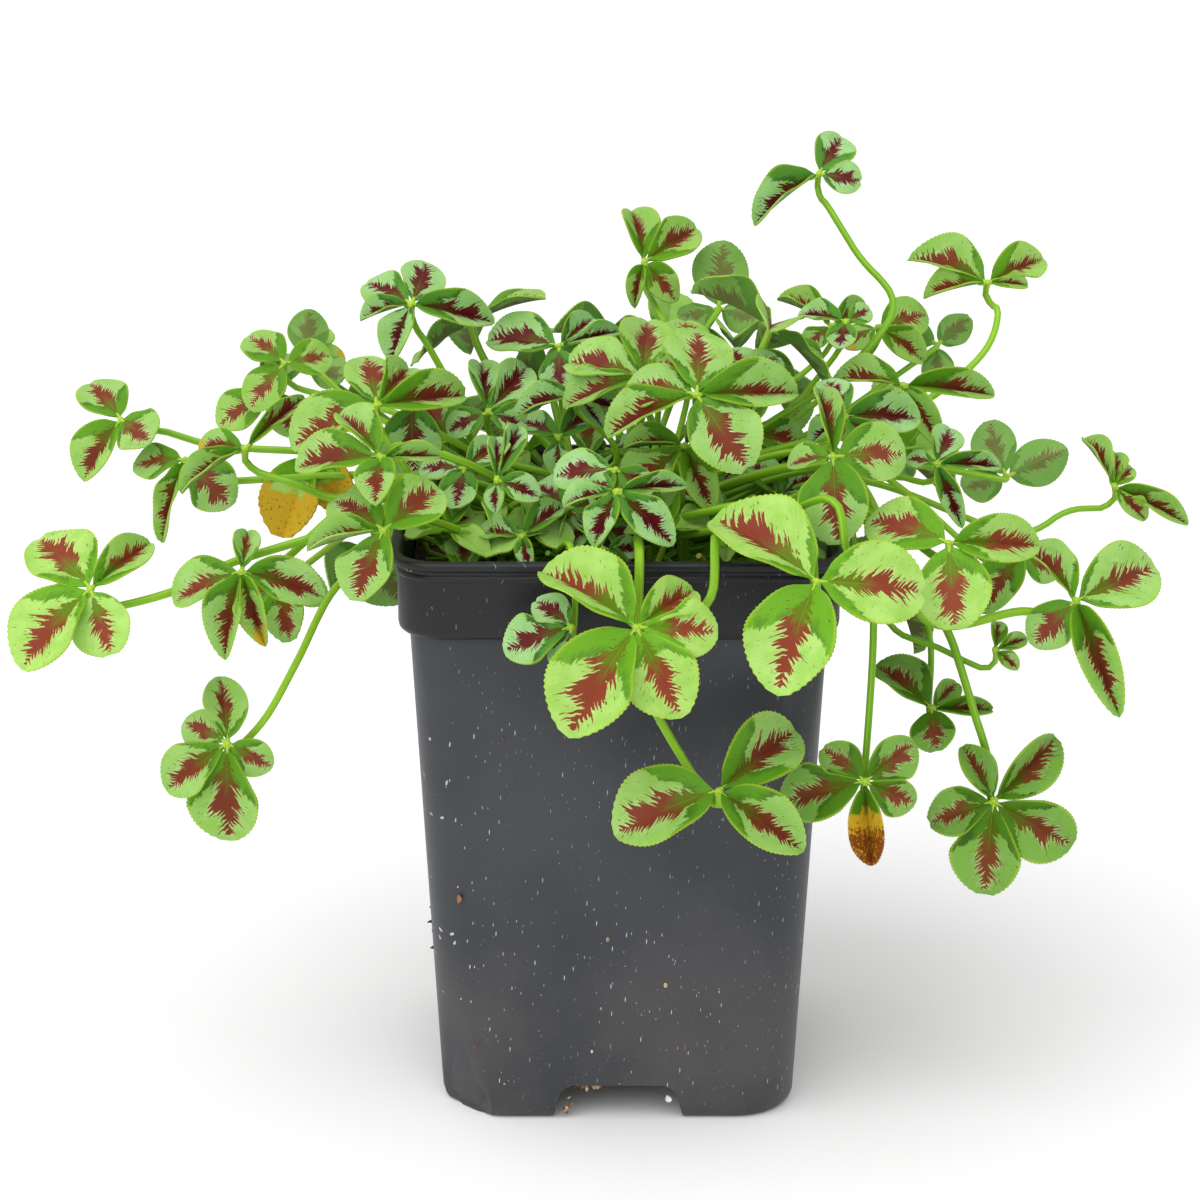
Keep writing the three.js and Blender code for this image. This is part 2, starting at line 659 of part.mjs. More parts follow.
// The arched channel under the pot along X, and its twin along Y, larger all round by grow.
function channels(grow) {
  const foot = CHANNEL_FOOT_WIDTH / 2 + grow;
  const top = CHANNEL_TOP_WIDTH / 2 + grow;
  const height = CHANNEL_HEIGHT + grow;
  const round = 3;
  const shape = new THREE.Shape();
  shape.moveTo(-foot - 1, -5);
  shape.lineTo(foot + 1, -5);
  shape.lineTo(foot, 0);
  shape.lineTo(top, height - round);
  shape.lineTo(top - round, height);
  shape.lineTo(round - top, height);
  shape.lineTo(-top, height - round);
  shape.lineTo(-foot, 0);
  shape.closePath();
  const length = 4 * BASE_HALF;
  const bar = new THREE.ExtrudeGeometry(shape, { depth: length, bevelEnabled: false });
  bar.translate(0, 0, -length / 2);
  bar.rotateX(Math.PI / 2);
  const alongY = solidFromGeometry(bar);
  const alongX = solidFromGeometry(bar.clone().rotateZ(Math.PI / 2));
  return alongY.add(alongX);
}

// The inside of the pot, smaller all round by shrink.
function potInside(shrink) {
  const bodyTop = POT_HEIGHT - COLLAR_HEIGHT;
  const top = shrink > 0 ? POT_HEIGHT : POT_HEIGHT + 5;
  const wall = WALL + shrink;
  const inside = loft([
    squareRing(BASE_HALF - BASE_EDGE - wall + 1, BASE_CORNER - 3, FLOOR + shrink),
    squareRing(BASE_HALF - wall + 0.2, BASE_CORNER - 1, FLOOR + BASE_EDGE + shrink),
    squareRing(BODY_TOP_HALF - wall, TOP_CORNER, bodyTop + 1 - shrink),
    squareRing(COLLAR_HALF - wall, TOP_CORNER - 1, bodyTop + 3 + shrink),
    squareRing(COLLAR_HALF - wall, TOP_CORNER - 1, top),
  ]);
  return inside.subtract(channels(WALL + shrink));
}

function makePot() {
  const bodyTop = POT_HEIGHT - COLLAR_HEIGHT;
  const outside = loft([
    squareRing(BASE_HALF - BASE_EDGE, BASE_CORNER - 2, 0),
    squareRing(BASE_HALF, BASE_CORNER, BASE_EDGE),
    squareRing(BODY_TOP_HALF, TOP_CORNER, bodyTop),
    squareRing(COLLAR_HALF - 0.6, TOP_CORNER, bodyTop + 0.2),
    squareRing(COLLAR_HALF, TOP_CORNER, bodyTop + 1.2),
    squareRing(COLLAR_HALF, TOP_CORNER, POT_HEIGHT - LIP_THICKNESS - 0.3),
    squareRing(LIP_HALF, TOP_CORNER + 1, POT_HEIGHT - LIP_THICKNESS),
    squareRing(LIP_HALF, TOP_CORNER + 1, POT_HEIGHT),
  ]);
  let pot = outside.subtract(channels(0)).subtract(potInside(0));
  const drain = new THREE.CylinderGeometry(DRAIN_RADIUS, DRAIN_RADIUS, 30, 12).rotateX(Math.PI / 2);
  for (let k = 0; k < 4; k++) {
    const turn = (k * Math.PI) / 2;
    const place = drain.clone().translate(DRAIN_OFFSET * Math.cos(turn), DRAIN_OFFSET * Math.sin(turn), 0);
    pot = pot.subtract(solidFromGeometry(place));
  }
  return pot;
}

// The height of the soil, a little uneven.
function soilHeight(x, y) {
  const broad = 0.6 * Math.sin(x * 0.19 + 1) * Math.cos(y * 0.16);
  return SOIL_TOP + SOIL_RELIEF * (broad + 0.4 * Math.sin((x + y) * 0.31));
}

// A block whose top follows the soil's height, from low up.
function soilBlock(low) {
  const points = [];
  const triangles = [];
  const side = SOIL_CELLS + 1;
  for (let level = 0; level < 2; level++) {
    for (let j = 0; j < side; j++) {
      for (let i = 0; i < side; i++) {
        const x = (i / SOIL_CELLS - 0.5) * 2 * LIP_HALF;
        const y = (j / SOIL_CELLS - 0.5) * 2 * LIP_HALF;
        points.push(new THREE.Vector3(x, y, level ? soilHeight(x, y) : low));
      }
    }
  }
  const at = (i, j, level) => level * side * side + j * side + i;
  for (let j = 0; j < SOIL_CELLS; j++) {
    for (let i = 0; i < SOIL_CELLS; i++) {
      for (const level of [0, 1]) {
        const [a, b] = [at(i, j, level), at(i + 1, j, level)];
        const [c, d] = [at(i + 1, j + 1, level), at(i, j + 1, level)];
        if (level) triangles.push([a, b, c], [a, c, d]);
        else triangles.push([a, c, b], [a, d, c]);
      }
    }
  }
  const rim = [];
  for (let i = 0; i < SOIL_CELLS; i++) rim.push([i, 0]);
  for (let j = 0; j < SOIL_CELLS; j++) rim.push([SOIL_CELLS, j]);
  for (let i = SOIL_CELLS; i > 0; i--) rim.push([i, SOIL_CELLS]);
  for (let j = SOIL_CELLS; j > 0; j--) rim.push([0, j]);
  rim.forEach(([i, j], k) => {
    const [m, n] = rim[(k + 1) % rim.length];
    triangles.push([at(i, j, 0), at(m, n, 0), at(m, n, 1)], [at(i, j, 0), at(m, n, 1), at(i, j, 1)]);
  });
  return solidFrom(points, triangles);
}

function makeSoil(stems) {
  let soil = potInside(GAP).intersect(soilBlock(-5));
  for (const { foot } of stems) {
    const depth = 30;
    const hole = new THREE.CylinderGeometry(STEM_RADIUS + GAP, STEM_RADIUS + GAP, depth, 6);
    hole.rotateX(Math.PI / 2).translate(foot.x, foot.y, foot.z - GAP + depth / 2);
    soil = soil.subtract(solidFromGeometry(hole));
  }
  return soil;
}

// A leaflet's edge and surface points: a row at each station across it, on both faces.
function bladeRows(leaf, leaflet) {
  const half = BLADE_THICKNESS / 2;
  const { normal, side, fold } = leaflet;
  const wing = (t) =>
    normal
      .clone()
      .multiplyScalar(Math.cos(fold))
      .addScaledVector(side, -Math.sign(t) * Math.sin(fold))
      .multiplyScalar(half);
  const rib = normal.clone().multiplyScalar(half / Math.max(0.55, Math.cos(fold)));
  const pair = (s, t) => {
    const offset = t === 0 ? rib : wing(t);
    const place = bladePoint(leaf.head, leaflet, s, t);
    return [place.clone().add(offset), place.clone().sub(offset)];
  };
  const stations = leaflet.length < SMALL_BLADE ? SMALL_BLADE_STATIONS : BLADE_STATIONS;
  const rows = stations.map((s) => [pair(s, -1), pair(s, 0), pair(s, 1)]);
  return { rows, tip: pair(1 - BLADE_NOTCH, 0), rib };
}

// Adds a leaflet to a mesh. start holds the two corners of its root, each above and below.
function addBlade(mesh, start, { rows, tip }) {
  const number = ([above, below]) => {
    mesh.points.push(above, below);
    return mesh.points.length - 2;
  };
  const grid = rows.map((row) => row.map(number));
  const end = number(tip);
  const [before, after] = start;
  const faces = [];
  const first = grid[0];
  if (before === after) faces.push([before, first[0], first[1]], [before, first[1], first[2]]);
  else faces.push([before, first[0], first[1]], [before, first[1], after], [after, first[1], first[2]]);
  for (let k = 0; k + 1 < grid.length; k++) {
    const [low, high] = [grid[k], grid[k + 1]];
    faces.push([low[0], high[0], high[1]], [low[0], high[1], low[1]]);
    faces.push([low[1], high[1], high[2]], [low[1], high[2], low[2]]);
  }
  const last = grid[grid.length - 1];
  faces.push([last[0], end, last[1]], [last[1], end, last[2]]);
  for (const [a, b, c] of faces) mesh.triangles.push([a, b, c], [a + 1, c + 1, b + 1]);
  const edge = [before, ...grid.map((row) => row[0]), end, ...grid.map((row) => row[2]).reverse(), after];
  for (let k = 0; k + 1 < edge.length; k++) {
    const [from, to] = [edge[k], edge[k + 1]];
    if (from !== to) mesh.triangles.push([from, from + 1, to + 1], [from, to + 1, to]);
  }
}

// A leaflet as a solid of its own, its pointed root inside the knob.
function looseBlade(leaf, leaflet, start) {
  const blade = bladeRows(leaf, leaflet);
  const root = leaf.head.clone().addScaledVector(leaflet.along, start);
  const mesh = { points: [root.clone().add(blade.rib), root.clone().sub(blade.rib)], triangles: [] };
  addBlade(mesh, [0, 0], blade);
  return solidFrom(mesh.points, mesh.triangles);
}

// Leaflets that cross one that is already kept. They are fused on, the others are part of the leaf.
function crossingLeaflets(leaf) {
  const kept = [];
  const crossing = new Set();
  for (const leaflet of leaf.leaflets) {
    const blade = looseBlade(leaf, leaflet, 2 * KNOB_RADIUS);
    if (kept.some((other) => other.intersect(blade).volume() > 0)) crossing.add(leaflet);
    else kept.push(blade);
  }
  return crossing;
}

// The knob's corners, as angles: between leaflets, and more where the next leaflet is far round.
function knobCorners(fixed) {
  const corners = [];
  const walls = [];
  const starts = fixed.map(() => [0, 0]);
  fixed.forEach((leaflet, k) => {
    const next = (k + 1) % fixed.length;
    const full = 2 * Math.PI;
    const room = (fixed[next].heading - leaflet.heading + 2 * full) % full || full;
    const far = leaflet.heading + room;
    let angles = [leaflet.heading + room / 2];
    if (room > WIDE_GAP) angles = [leaflet.heading + CORNER_TURN, far - CORNER_TURN];
    if (room > WIDEST_GAP) angles.splice(1, 0, leaflet.heading + room / 2);
    starts[k][1] = corners.length;
    for (let m = 0; m + 1 < angles.length; m++) walls.push(corners.length + m);
    corners.push(...angles);
    starts[next][0] = corners.length - 1;
  });
  return { corners, walls, starts };
}

// The points of a path that show its bends, after the one at from.
function pathBends(path, from, to) {
  const chord = new THREE.Line3(path[from], path[to]);
  let [worst, at] = [0, from];
  for (let i = from + 1; i < to; i++) {
    const off = chord.closestPointToPoint(path[i], true, new THREE.Vector3()).distanceTo(path[i]);
    if (off > worst) [worst, at] = [off, i];
  }
  if (worst < PETIOLE_TOLERANCE) return [path[to]];
  return [...pathBends(path, from, at), ...pathBends(path, at, to)];
}

// A leaf as one solid: a petiole with as many sides as leaflets, each leaflet from a side of its knob.
function leafSolid(leaf) {
  const crossing = crossingLeaflets(leaf);
  const fixed = leaf.leaflets.filter((leaflet) => !crossing.has(leaflet));
  const { corners, walls, starts } = knobCorners(fixed);
  const sides = corners.length;
  const neck = leaf.path[leaf.path.length - 2].clone().sub(leaf.head).setLength(NECK);
  const line = [leaf.path[0], ...pathBends(leaf.path, 0, leaf.path.length - 2), neck.add(leaf.head)];
  const rings = [];
  const [first, second] = leaf.axes;
  let [across, tangent] = [first.clone(), leaf.facing.clone()];
  for (let k = line.length - 1; k >= 0; k--) {
    const centre = line[k];
    const next = (line[k + 1] ?? leaf.head).clone().sub(line[Math.max(0, k - 1)]).normalize();
    across.applyQuaternion(new THREE.Quaternion().setFromUnitVectors(tangent, next));
    tangent = next;
    const other = new THREE.Vector3().crossVectors(tangent, across);
    const radius = THREE.MathUtils.lerp(PETIOLE_ROOT_RADIUS, PETIOLE_TIP_RADIUS, k / (line.length - 1));
    rings.push(
      corners.map((angle) =>
        centre
          .clone()
          .addScaledVector(across, radius * Math.cos(angle))
          .addScaledVector(other, radius * Math.sin(angle)),
      ),
    );
  }
  rings.reverse();
  const knob = (height) =>
    corners.map((angle) =>
      leaf.head
        .clone()
        .addScaledVector(first, KNOB_RADIUS * Math.cos(angle))
        .addScaledVector(second, KNOB_RADIUS * Math.sin(angle))
        .addScaledVector(leaf.facing, height),
    );
  const mesh = { points: rings.flat(), triangles: [] };
  const [below, above] = [knob(-KNOB_HEIGHT / 2), knob(KNOB_HEIGHT / 2)];
  const rim = corners.map((_, k) => {
    mesh.points.push(above[k], below[k]);
    return mesh.points.length - 2;
  });
  const last = (rings.length - 1) * sides;
  for (let k = 1; k + 1 < sides; k++) {
    mesh.triangles.push([0, k + 1, k], [rim[0], rim[k], rim[k + 1]]);
  }
  for (let k = 0; k < sides; k++) {
    const next = (k + 1) % sides;
    for (let r = 0; r + 1 < rings.length; r++) {
      const low = r * sides;
      const high = low + sides;
      mesh.triangles.push([low + k, low + next, high + next], [low + k, high + next, high + k]);
    }
    const [belowHere, belowNext] = [rim[k] + 1, rim[next] + 1];
    mesh.triangles.push([last + k, last + next, belowNext], [last + k, belowNext, belowHere]);
    if (walls.includes(k)) {
      mesh.triangles.push([belowHere, belowNext, rim[next]], [belowHere, rim[next], rim[k]]);
    }
  }
  fixed.forEach((leaflet, k) => {
    const [before, after] = starts[k];
    addBlade(mesh, [rim[before], rim[after]], bladeRows(leaf, leaflet));
  });
  let solid = solidFrom(mesh.points, mesh.triangles);
  for (const leaflet of crossing) solid = solid.add(looseBlade(leaf, leaflet, 0));
  return solid;
}

function stemSolid(stem) {
  const top = FIRST_LEAF_HEIGHT + LEAF_SPACING * (stem.leaves.length - 1) + STEM_RADIUS;
  const length = top - STEM_FOOT;
  const stub = new THREE.CylinderGeometry(STEM_RADIUS, STEM_RADIUS, length, 6);
  stub.rotateX(Math.PI / 2).translate(stem.foot.x, stem.foot.y, STEM_FOOT + length / 2);
  let solid = solidFromGeometry(stub);
  for (const leaf of stem.leaves) solid = solid.add(leafSolid(leaf));
  return solid;
}

const potPlastic = new THREE.MeshStandardMaterial({ color: 0x3a3c41, roughness: 0.45 });
const darkPeat = new THREE.MeshStandardMaterial({ color: 0x33261c, roughness: 1 });
const leafGreen = new THREE.MeshStandardMaterial({ color: 0x7fb545, roughness: 0.55 });

const pottedClover = new THREE.Group();

function addPiece(name, solid, material) {
  const { vertProperties, triVerts } = solid.getMesh();
  const geometry = new THREE.BufferGeometry();
  geometry.setAttribute("position", new THREE.BufferAttribute(vertProperties, 3));
  geometry.setIndex(new THREE.BufferAttribute(triVerts, 1));
  const mesh = new THREE.Mesh(geometry, material);
  mesh.name = name;
  pottedClover.add(mesh);
}

const stems = growPlant();
addPiece("pot", makePot(), potPlastic);
addPiece("soil", makeSoil(stems), darkPeat);
stems.forEach((stem, k) => {
  addPiece(`leafy_stem_${String(k + 1).padStart(2, "0")}`, stemSolid(stem), leafGreen);
});

export default pottedClover;
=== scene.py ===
import math

import bmesh
import bpy
import numpy as np
from mathutils import Euler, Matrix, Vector


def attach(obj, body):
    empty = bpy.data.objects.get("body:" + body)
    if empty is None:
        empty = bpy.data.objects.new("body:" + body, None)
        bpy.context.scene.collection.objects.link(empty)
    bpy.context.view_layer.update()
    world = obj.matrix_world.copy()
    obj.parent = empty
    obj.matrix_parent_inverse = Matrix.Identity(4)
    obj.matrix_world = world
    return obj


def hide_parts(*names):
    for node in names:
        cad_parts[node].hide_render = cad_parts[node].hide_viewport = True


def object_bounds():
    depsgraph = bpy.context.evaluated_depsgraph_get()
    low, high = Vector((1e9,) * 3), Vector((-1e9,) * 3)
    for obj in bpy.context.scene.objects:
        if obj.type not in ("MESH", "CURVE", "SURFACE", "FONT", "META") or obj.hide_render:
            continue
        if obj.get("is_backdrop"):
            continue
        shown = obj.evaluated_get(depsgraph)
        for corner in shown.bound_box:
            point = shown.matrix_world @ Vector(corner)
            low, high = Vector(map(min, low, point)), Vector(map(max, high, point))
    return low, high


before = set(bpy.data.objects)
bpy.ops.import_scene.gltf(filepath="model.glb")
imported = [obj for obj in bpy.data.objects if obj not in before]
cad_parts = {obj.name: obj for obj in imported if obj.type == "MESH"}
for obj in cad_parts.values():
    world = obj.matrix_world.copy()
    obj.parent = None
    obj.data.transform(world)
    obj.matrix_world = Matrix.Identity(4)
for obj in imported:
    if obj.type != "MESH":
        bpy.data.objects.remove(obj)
cad_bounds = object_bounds()

# Lengths are in mm, as in the frame's own source, and become metres where a mesh is made.
MM = 0.001

# Pot
POT_HEIGHT = 126.0
LIP_HALF = 46.6
COLLAR_HALF = 45.0
COLLAR_HEIGHT = 17.0
BODY_TOP_HALF = 42.8
BASE_HALF = 37.6
BASE_EDGE = 2.6
TOP_CORNER = 9.0
BASE_CORNER = 13.0
WALL = 1.2
FLOOR = 1.4
CHANNEL_FOOT_WIDTH = 30.0
CHANNEL_TOP_WIDTH = 24.0
CHANNEL_HEIGHT = 8.0
DRAIN_RADIUS = 4.5
DRAIN_OFFSET = 27.0

# Soil
SOIL_TOP = 113.5
SOIL_RELIEF = 1.2
GAP = 0.3

# Stems and petioles
STEM_RADIUS = 1.7
STEM_FOOT = 105.0
FIRST_LEAF_HEIGHT = 116.6
LEAF_SPACING = 2.6
LEAVES_PER_STEM = 5
CROWN_RADII = (8.0, 20.0)
PETIOLE_ROOT_RADIUS = 1.15
PETIOLE_TIP_RADIUS = 0.95
PETIOLE_STEP = 4.0
FINE_STEP = 2.0
SPLINE_SAMPLES = 200
NECK_BACK = 4.0
NECK_DROP = 2.0
ROOT_RUN = 5.0
ROOT_RISE = 1.0
ROOT_RISE_STEP = 0.4
VIA_EASE = 0.45
OVER_RIM = 1.0
OVER_RIM_STEP = 2.5

# Leaflets
BLADE_RATIO = 0.86
BLADE_ARCH = 0.42
BLADE_START = 0.6
BLADE_ROLL = 0.2
BASE_STATION = 0.4
BASE_CLEARANCE = 0.3
FOLD_MIN = 0.14
FOLD_MAX = 1.12
SLOPE_MAX = 0.8
FACE_USUAL = (0, 0.45)
SHOWN_LEAST = 0.6
CROWD_ANGLE = 1.5
BASE_LEAST = 0.3

# Where the plant is seen from
VIEW_PITCH = math.radians(17.4)
VIEW_DISTANCE = 800.0
VIEW_AIM = np.array([-3.85, 0.0, 103.9])
VIEW_LENS = 112.3
SENSOR_WIDTH = 36.0
ACROSS = np.array([1.0, 0.0, 0.0])
UPWARD = np.array([0.0, math.sin(VIEW_PITCH), math.cos(VIEW_PITCH)])
TOWARD = np.array([0.0, -math.cos(VIEW_PITCH), math.sin(VIEW_PITCH)])
FRONT_LEAVES = (
    dict(
        at=(-106.2, 38.5, 0),
        leaflets=((126, 12, 12), (235, 14, 9), (330, 7, 12, 1.5)),
        via=((-98.9, 36.2), (-87, 33)),
    ),
    dict(
        at=(-112.7, 2.4, 42),
        leaflets=((133, 17, 14), (43, 15.6, 8), (224, 20, 14), (290, 13, 13)),
        via=((-95, 1.7), (-83.6, 7.4), (-62.3, 14.5)),
    ),
    dict(at=(-92.5, 30, 5), leaflets=((180, 11, 9), (252, 17, 4.5), (316, 13, 13))),
    dict(
        at=(-79.5, 32.5, 20),
        spoiled={175: 0.6},
        leaflets=((209, 16, 4), (175, 10, 5), (46, 17, 4)),
        via=((-69, 24.5), (-59.4, 20.8), (-40, 15.7)),
    ),
    dict(at=(-71.1, 50.4, -10), leaflets=((137, 11, 13), (14, 10, 9), (228, 11.5, 12))),
    dict(at=(-66.5, 51.5, -30), leaflets=((90, 10, 9), (200, 10, 8), (330, 10, 8)), face=(0, -0.4)),
    dict(at=(-73, 44, -18), leaflets=((205, 13, 9), (300, 10, 8), (80, 9, 8))),
    dict(
        at=(-44, 61.6, 5),
        leaflets=((148, 11.5, 11), (71, 10.6, 13), (350, 17.5, 7.5), (192, 11, 4), (247, 12, 7)),
        via=((-41.5, 54.7), (-34.5, 42.7), (-28.8, 30)),
    ),
    dict(
        at=(-51.6, 41.5, 25),
        leaflets=((99, 12, 13), (55, 12, 8, -0.7), (10, 19, 8.5), (201, 19, 11)),
        via=((-47.9, 32.7), (-40.2, 23.1), (-27, 18)),
    ),
    dict(at=(-42.5, 41, 8), leaflets=((270, 14, 13), (150, 9, 8), (30, 9, 8))),
    dict(
        at=(-49.4, 24.9, 40),
        leaflets=((180, 17.5, 9), (130, 13.6, 7), (3, 11.7, 4), (262, 8, 8, 1.2)),
    ),
    dict(
        at=(-50.8, 12.4, 48),
        leaflets=((143, 12.7, 11), (42, 14.5, 11), (188, 15.5, 4), (247, 14, 11)),
    ),
    dict(
        at=(-80.6, 6.4, 35),
        spoiled={288: 0.5},
        leaflets=((84, 9, 5.5), (199, 14.6, 8.6), (345, 17, 9), (256, 16.5, 8), (288, 14.6, 6)),
    ),
    dict(
        at=(-83.4, -30.6, 30),
        leaflets=((95, 13.7, 9), (152, 10, 9), (214, 16, 11), (268, 20, 15), (330, 10, 8)),
        via=((-76.2, -26.8), (-68.5, -14.2), (-60, 1.5), (-50, 11)),
        face=(0, 0.05),
    ),
    dict(at=(-15.5, 53.7, 0), leaflets=((168, 15.8, 9.5), (42, 10, 6), (18, 14, 4), (270, 9, 11))),
    dict(at=(-29.3, 39.7, 5), leaflets=((98, 12.5, 7), (52, 14, 9), (340, 8, 6), (200, 9, 7))),
    dict(at=(-29.8, 27.4, 25), leaflets=((173, 9, 8.5), (257, 7, 9, 1), (40, 9, 7))),
    dict(at=(-25.7, 26, 35), leaflets=((90, 9.5, 4.7), (68, 13, 5), (265, 6, 4), (340, 9, 6))),
    dict(
        at=(-8.6, 42.8, 10),
        leaflets=((192, 13.5, 5), (345, 9, 6), (310, 8, 4)),
        via=((-5, 37), (0, 30)),
    ),
    dict(
        at=(5.9, 70.6, -20),
        leaflets=((98, 13.6, 8), (36, 15, 9.5), (309, 10.4, 7), (255, 9.4, 4)),
        via=((9.8, 62.2), (11.7, 57.8)),
    ),
    dict(at=(19.6, 57.8, -25), leaflets=((86, 14, 12.5), (200, 9, 8), (340, 9, 8)), face=(0, -0.4)),
    dict(at=(19.5, 52, -8), leaflets=((90, 11.5, 13.5), (190, 9, 7), (350, 8, 7))),
    dict(at=(3.8, 47.5, 15), leaflets=((83, 14, 12), (161, 16.5, 10), (195, 17, 8), (20, 9, 8))),
    dict(
        at=(18.5, 42.5, 35),
        leaflets=((86, 15.5, 14.5), (3, 21, 9.5), (303, 17.3, 15), (167, 14.5, 10), (200, 20, 8)),
    ),
    dict(
        at=(14.3, 33.5, 26),
        leaflets=((222, 16.5, 9), (293, 14, 7), (60, 5, 4, -1.5), (176, 12.5, 4)),
    ),
    dict(at=(-0.5, 27, 34), leaflets=((180, 12.5, 10), (330, 8, 6), (235, 8, 5))),
    dict(
        at=(-1.8, 18.9, 45),
        leaflets=((189, 11, 4.5), (158, 6, 3), (244, 11, 6.5), (318, 14.6, 8), (8, 14, 4)),
    ),
    dict(
        at=(3.1, -7.2, 62),
        leaflets=((143, 23, 12), (35, 14.5, 9, -0.4), (0, 16, 12), (296, 18, 15), (234, 23.5, 17)),
        via=((15.5, 0.5), (20, 12), (22.5, 15)),
    ),
    dict(at=(-9, -4.5, 57), leaflets=((195, 14, 10), (140, 9, 8), (260, 9, 8)), face=(0, 0.2)),
    dict(
        at=(21.3, -40.1, 48),
        spoiled={196: 0.3, 325: 0.35, 38: 0.25},
        leaflets=((196, 22, 14), (38, 21, 13), (325, 19.6, 11)),
        via=((8.3, -23.5), (5, -14)),
    ),
    dict(at=(42.3, 1.8, 58), leaflets=((141, 25, 15), (245, 22, 17), (358, 22, 16.5))),
    dict(
        at=(52.6, -38.5, 42),
        spoiled={274: 0.95},
        leaflets=((192, 17.5, 12), (139, 10.6, 8), (36, 12.8, 9.5), (274, 17, 7), (335, 11, 8)),
        via=((51.8, -16.7), (46.6, -10.4)),
        face=(0, 0.05),
    ),
    dict(
        at=(78.4, -41.3, 30),
        leaflets=((43, 19, 9.5), (328, 19, 13), (263, 19.6, 14.5), (196, 14, 10), (117, 13, 7)),
        via=((74.6, -27), (70.1, -6.4)),
        face=(0, 0.05),
    ),
    dict(
        at=(69.8, -24.7, 24),
        leaflets=((136, 15, 9), (270, 7, 12, 1.2), (0, 13, 4), (45, 8, 5)),
        via=((68.4, -21.4), (66.7, -5.3)),
    ),
    dict(at=(70.7, 12.2, 45), leaflets=((156, 17, 13), (0, 18.6, 10), (271, 16, 16))),
    dict(
        at=(97.9, -0.1, 35),
        leaflets=((24, 19.4, 14), (221, 12, 14), (126, 15.6, 7), (287, 23, 8)),
        via=((87, -2.4), (66.5, -4.7)),
    ),
    dict(at=(88, 8, 20), leaflets=((230, 14, 9), (140, 9, 7), (330, 8, 7))),
    dict(
        at=(79.5, -9, 25),
        leaflets=((20, 7, 3.5), (80, 6, 3.5), (320, 5.5, 3.5)),
        via=((76.1, -13.3), (66.5, -9.2), (57.7, -5.3)),
    ),
    dict(
        at=(106.1, 24.2, -8),
        leaflets=((115, 13, 5), (80, 8, 4), (45, 6, 4), (335, 17, 5), (312, 9, 5)),
        via=((96, 19), (86.8, 14.4)),
    ),
    dict(at=(82.9, 26.3, -10), leaflets=((110, 12, 14), (25, 14, 10), (200, 10, 8)), face=(0, -0.3)),
    dict(
        at=(78.9, 67.8, -10),
        leaflets=((154, 18, 8.5), (27, 14.4, 9), (187, 13.7, 5), (0, 8.6, 4)),
        via=((80.8, 62.6), (79.1, 56), (70.1, 48.1)),
    ),
    dict(
        at=(42.9, 91.1, -5),
        leaflets=((60, 11, 9), (213, 17, 6), (352, 9, 9)),
        via=((44.1, 85.1), (50.7, 74.2), (57.8, 63.3)),
    ),
    dict(at=(54, 45.3, 0), leaflets=((357, 19.5, 6.5), (300, 14, 6), (170, 15, 6))),
    dict(at=(45.8, 58.6, -20), leaflets=((145, 13.7, 4.5), (35, 9.5, 6), (215, 7, 6))),
    dict(
        at=(55.6, 58.4, -12),
        spoiled={205: 0.6},
        leaflets=((18, 11.6, 9.5), (205, 8, 6), (325, 12, 7)),
    ),
    dict(at=(68.2, 54.5, -22), leaflets=((150, 9, 7), (40, 9, 7), (270, 8, 7)), face=(0, -0.4)),
    dict(at=(49, 38.2, 20), leaflets=((108, 9, 7.5), (1, 16, 9), (318, 12, 7), (215, 9, 4))),
    dict(at=(43.6, 26.2, 38), leaflets=((97, 16, 5.5), (5, 15, 14), (270, 16.5, 14), (185, 9, 5))),
    dict(
        at=(66.5, 29.3, 20),
        spoiled={0: 0.4},
        leaflets=((65, 9, 7), (0, 13.5, 4), (165, 6, 4), (290, 13, 4.5)),
    ),
    dict(at=(46, 54.5, -2), leaflets=((165, 10, 5), (250, 5, 9, 1.2), (30, 6, 5))),
    dict(at=(31.5, 49.5, 5), leaflets=((45, 9, 8), (110, 9, 8), (200, 8, 6))),
)

# Leaves at the back, by rule
BACK_ROWS = (
    dict(count=5, reach=44.0, height=152.0, lift=0.9),
    dict(count=5, reach=69.5, height=132.0, lift=0.9),
    dict(count=4, reach=71.5, height=100.0, lift=0.3),
)
BACK_FROM = math.radians(18)
BACK_TO = math.radians(162)
BACK_SEED = 7
BACK_REACH_SPREAD = 8.0
BACK_HEIGHT_SPREAD = 14.0
BACK_LENGTHS = (15.0, 5.0)
BACK_WIDTHS = (0.55, 0.3)

# Clearing of leaves from each other, from the pot and from the soil
SETTLE_ROUNDS = 240
NEIGHBOUR_ROUNDS = 12
NEIGHBOUR_REACH = 5.0
CLEAR_PETIOLE = 2.1
CLEAR_BLADE = 2.5
NEAR_ROOT = 4
EASE_EARLY = 0.25
EASE_LATE = 0.8
POT_CLEARANCE = 1.9
RIM_CLEARANCE = 3.0
RIM_BAND = 7.0
PUSH_SHARE = 0.5
BEND_EVENING = 0.3
EARLY_ROUNDS = 0.6
APART_LEAST = 0.2
# Where a leaflet feels for others: along it, and across it
FEELERS = (
    (0.15, 0),
    (0.42, 0),
    (0.42, 0.6),
    (0.42, -0.6),
    (0.72, 0),
    (0.72, 0.62),
    (0.72, -0.62),
    (0.97, 0),
)


def seeded(seed):
    """A draw between 0 and 1, the same each run."""
    state = seed & 0xFFFFFFFF

    def times(a, b):
        return (a * b) & 0xFFFFFFFF

    def draw():
        nonlocal state
        state = (state + 0x6D2B79F5) & 0xFFFFFFFF
        t = times(state ^ (state >> 15), state | 1)
        t ^= (t + times(t ^ (t >> 7), t | 61)) & 0xFFFFFFFF
        return (t ^ (t >> 14)) / 4294967296

    return draw


def unit(vector):
    return vector / np.linalg.norm(vector)


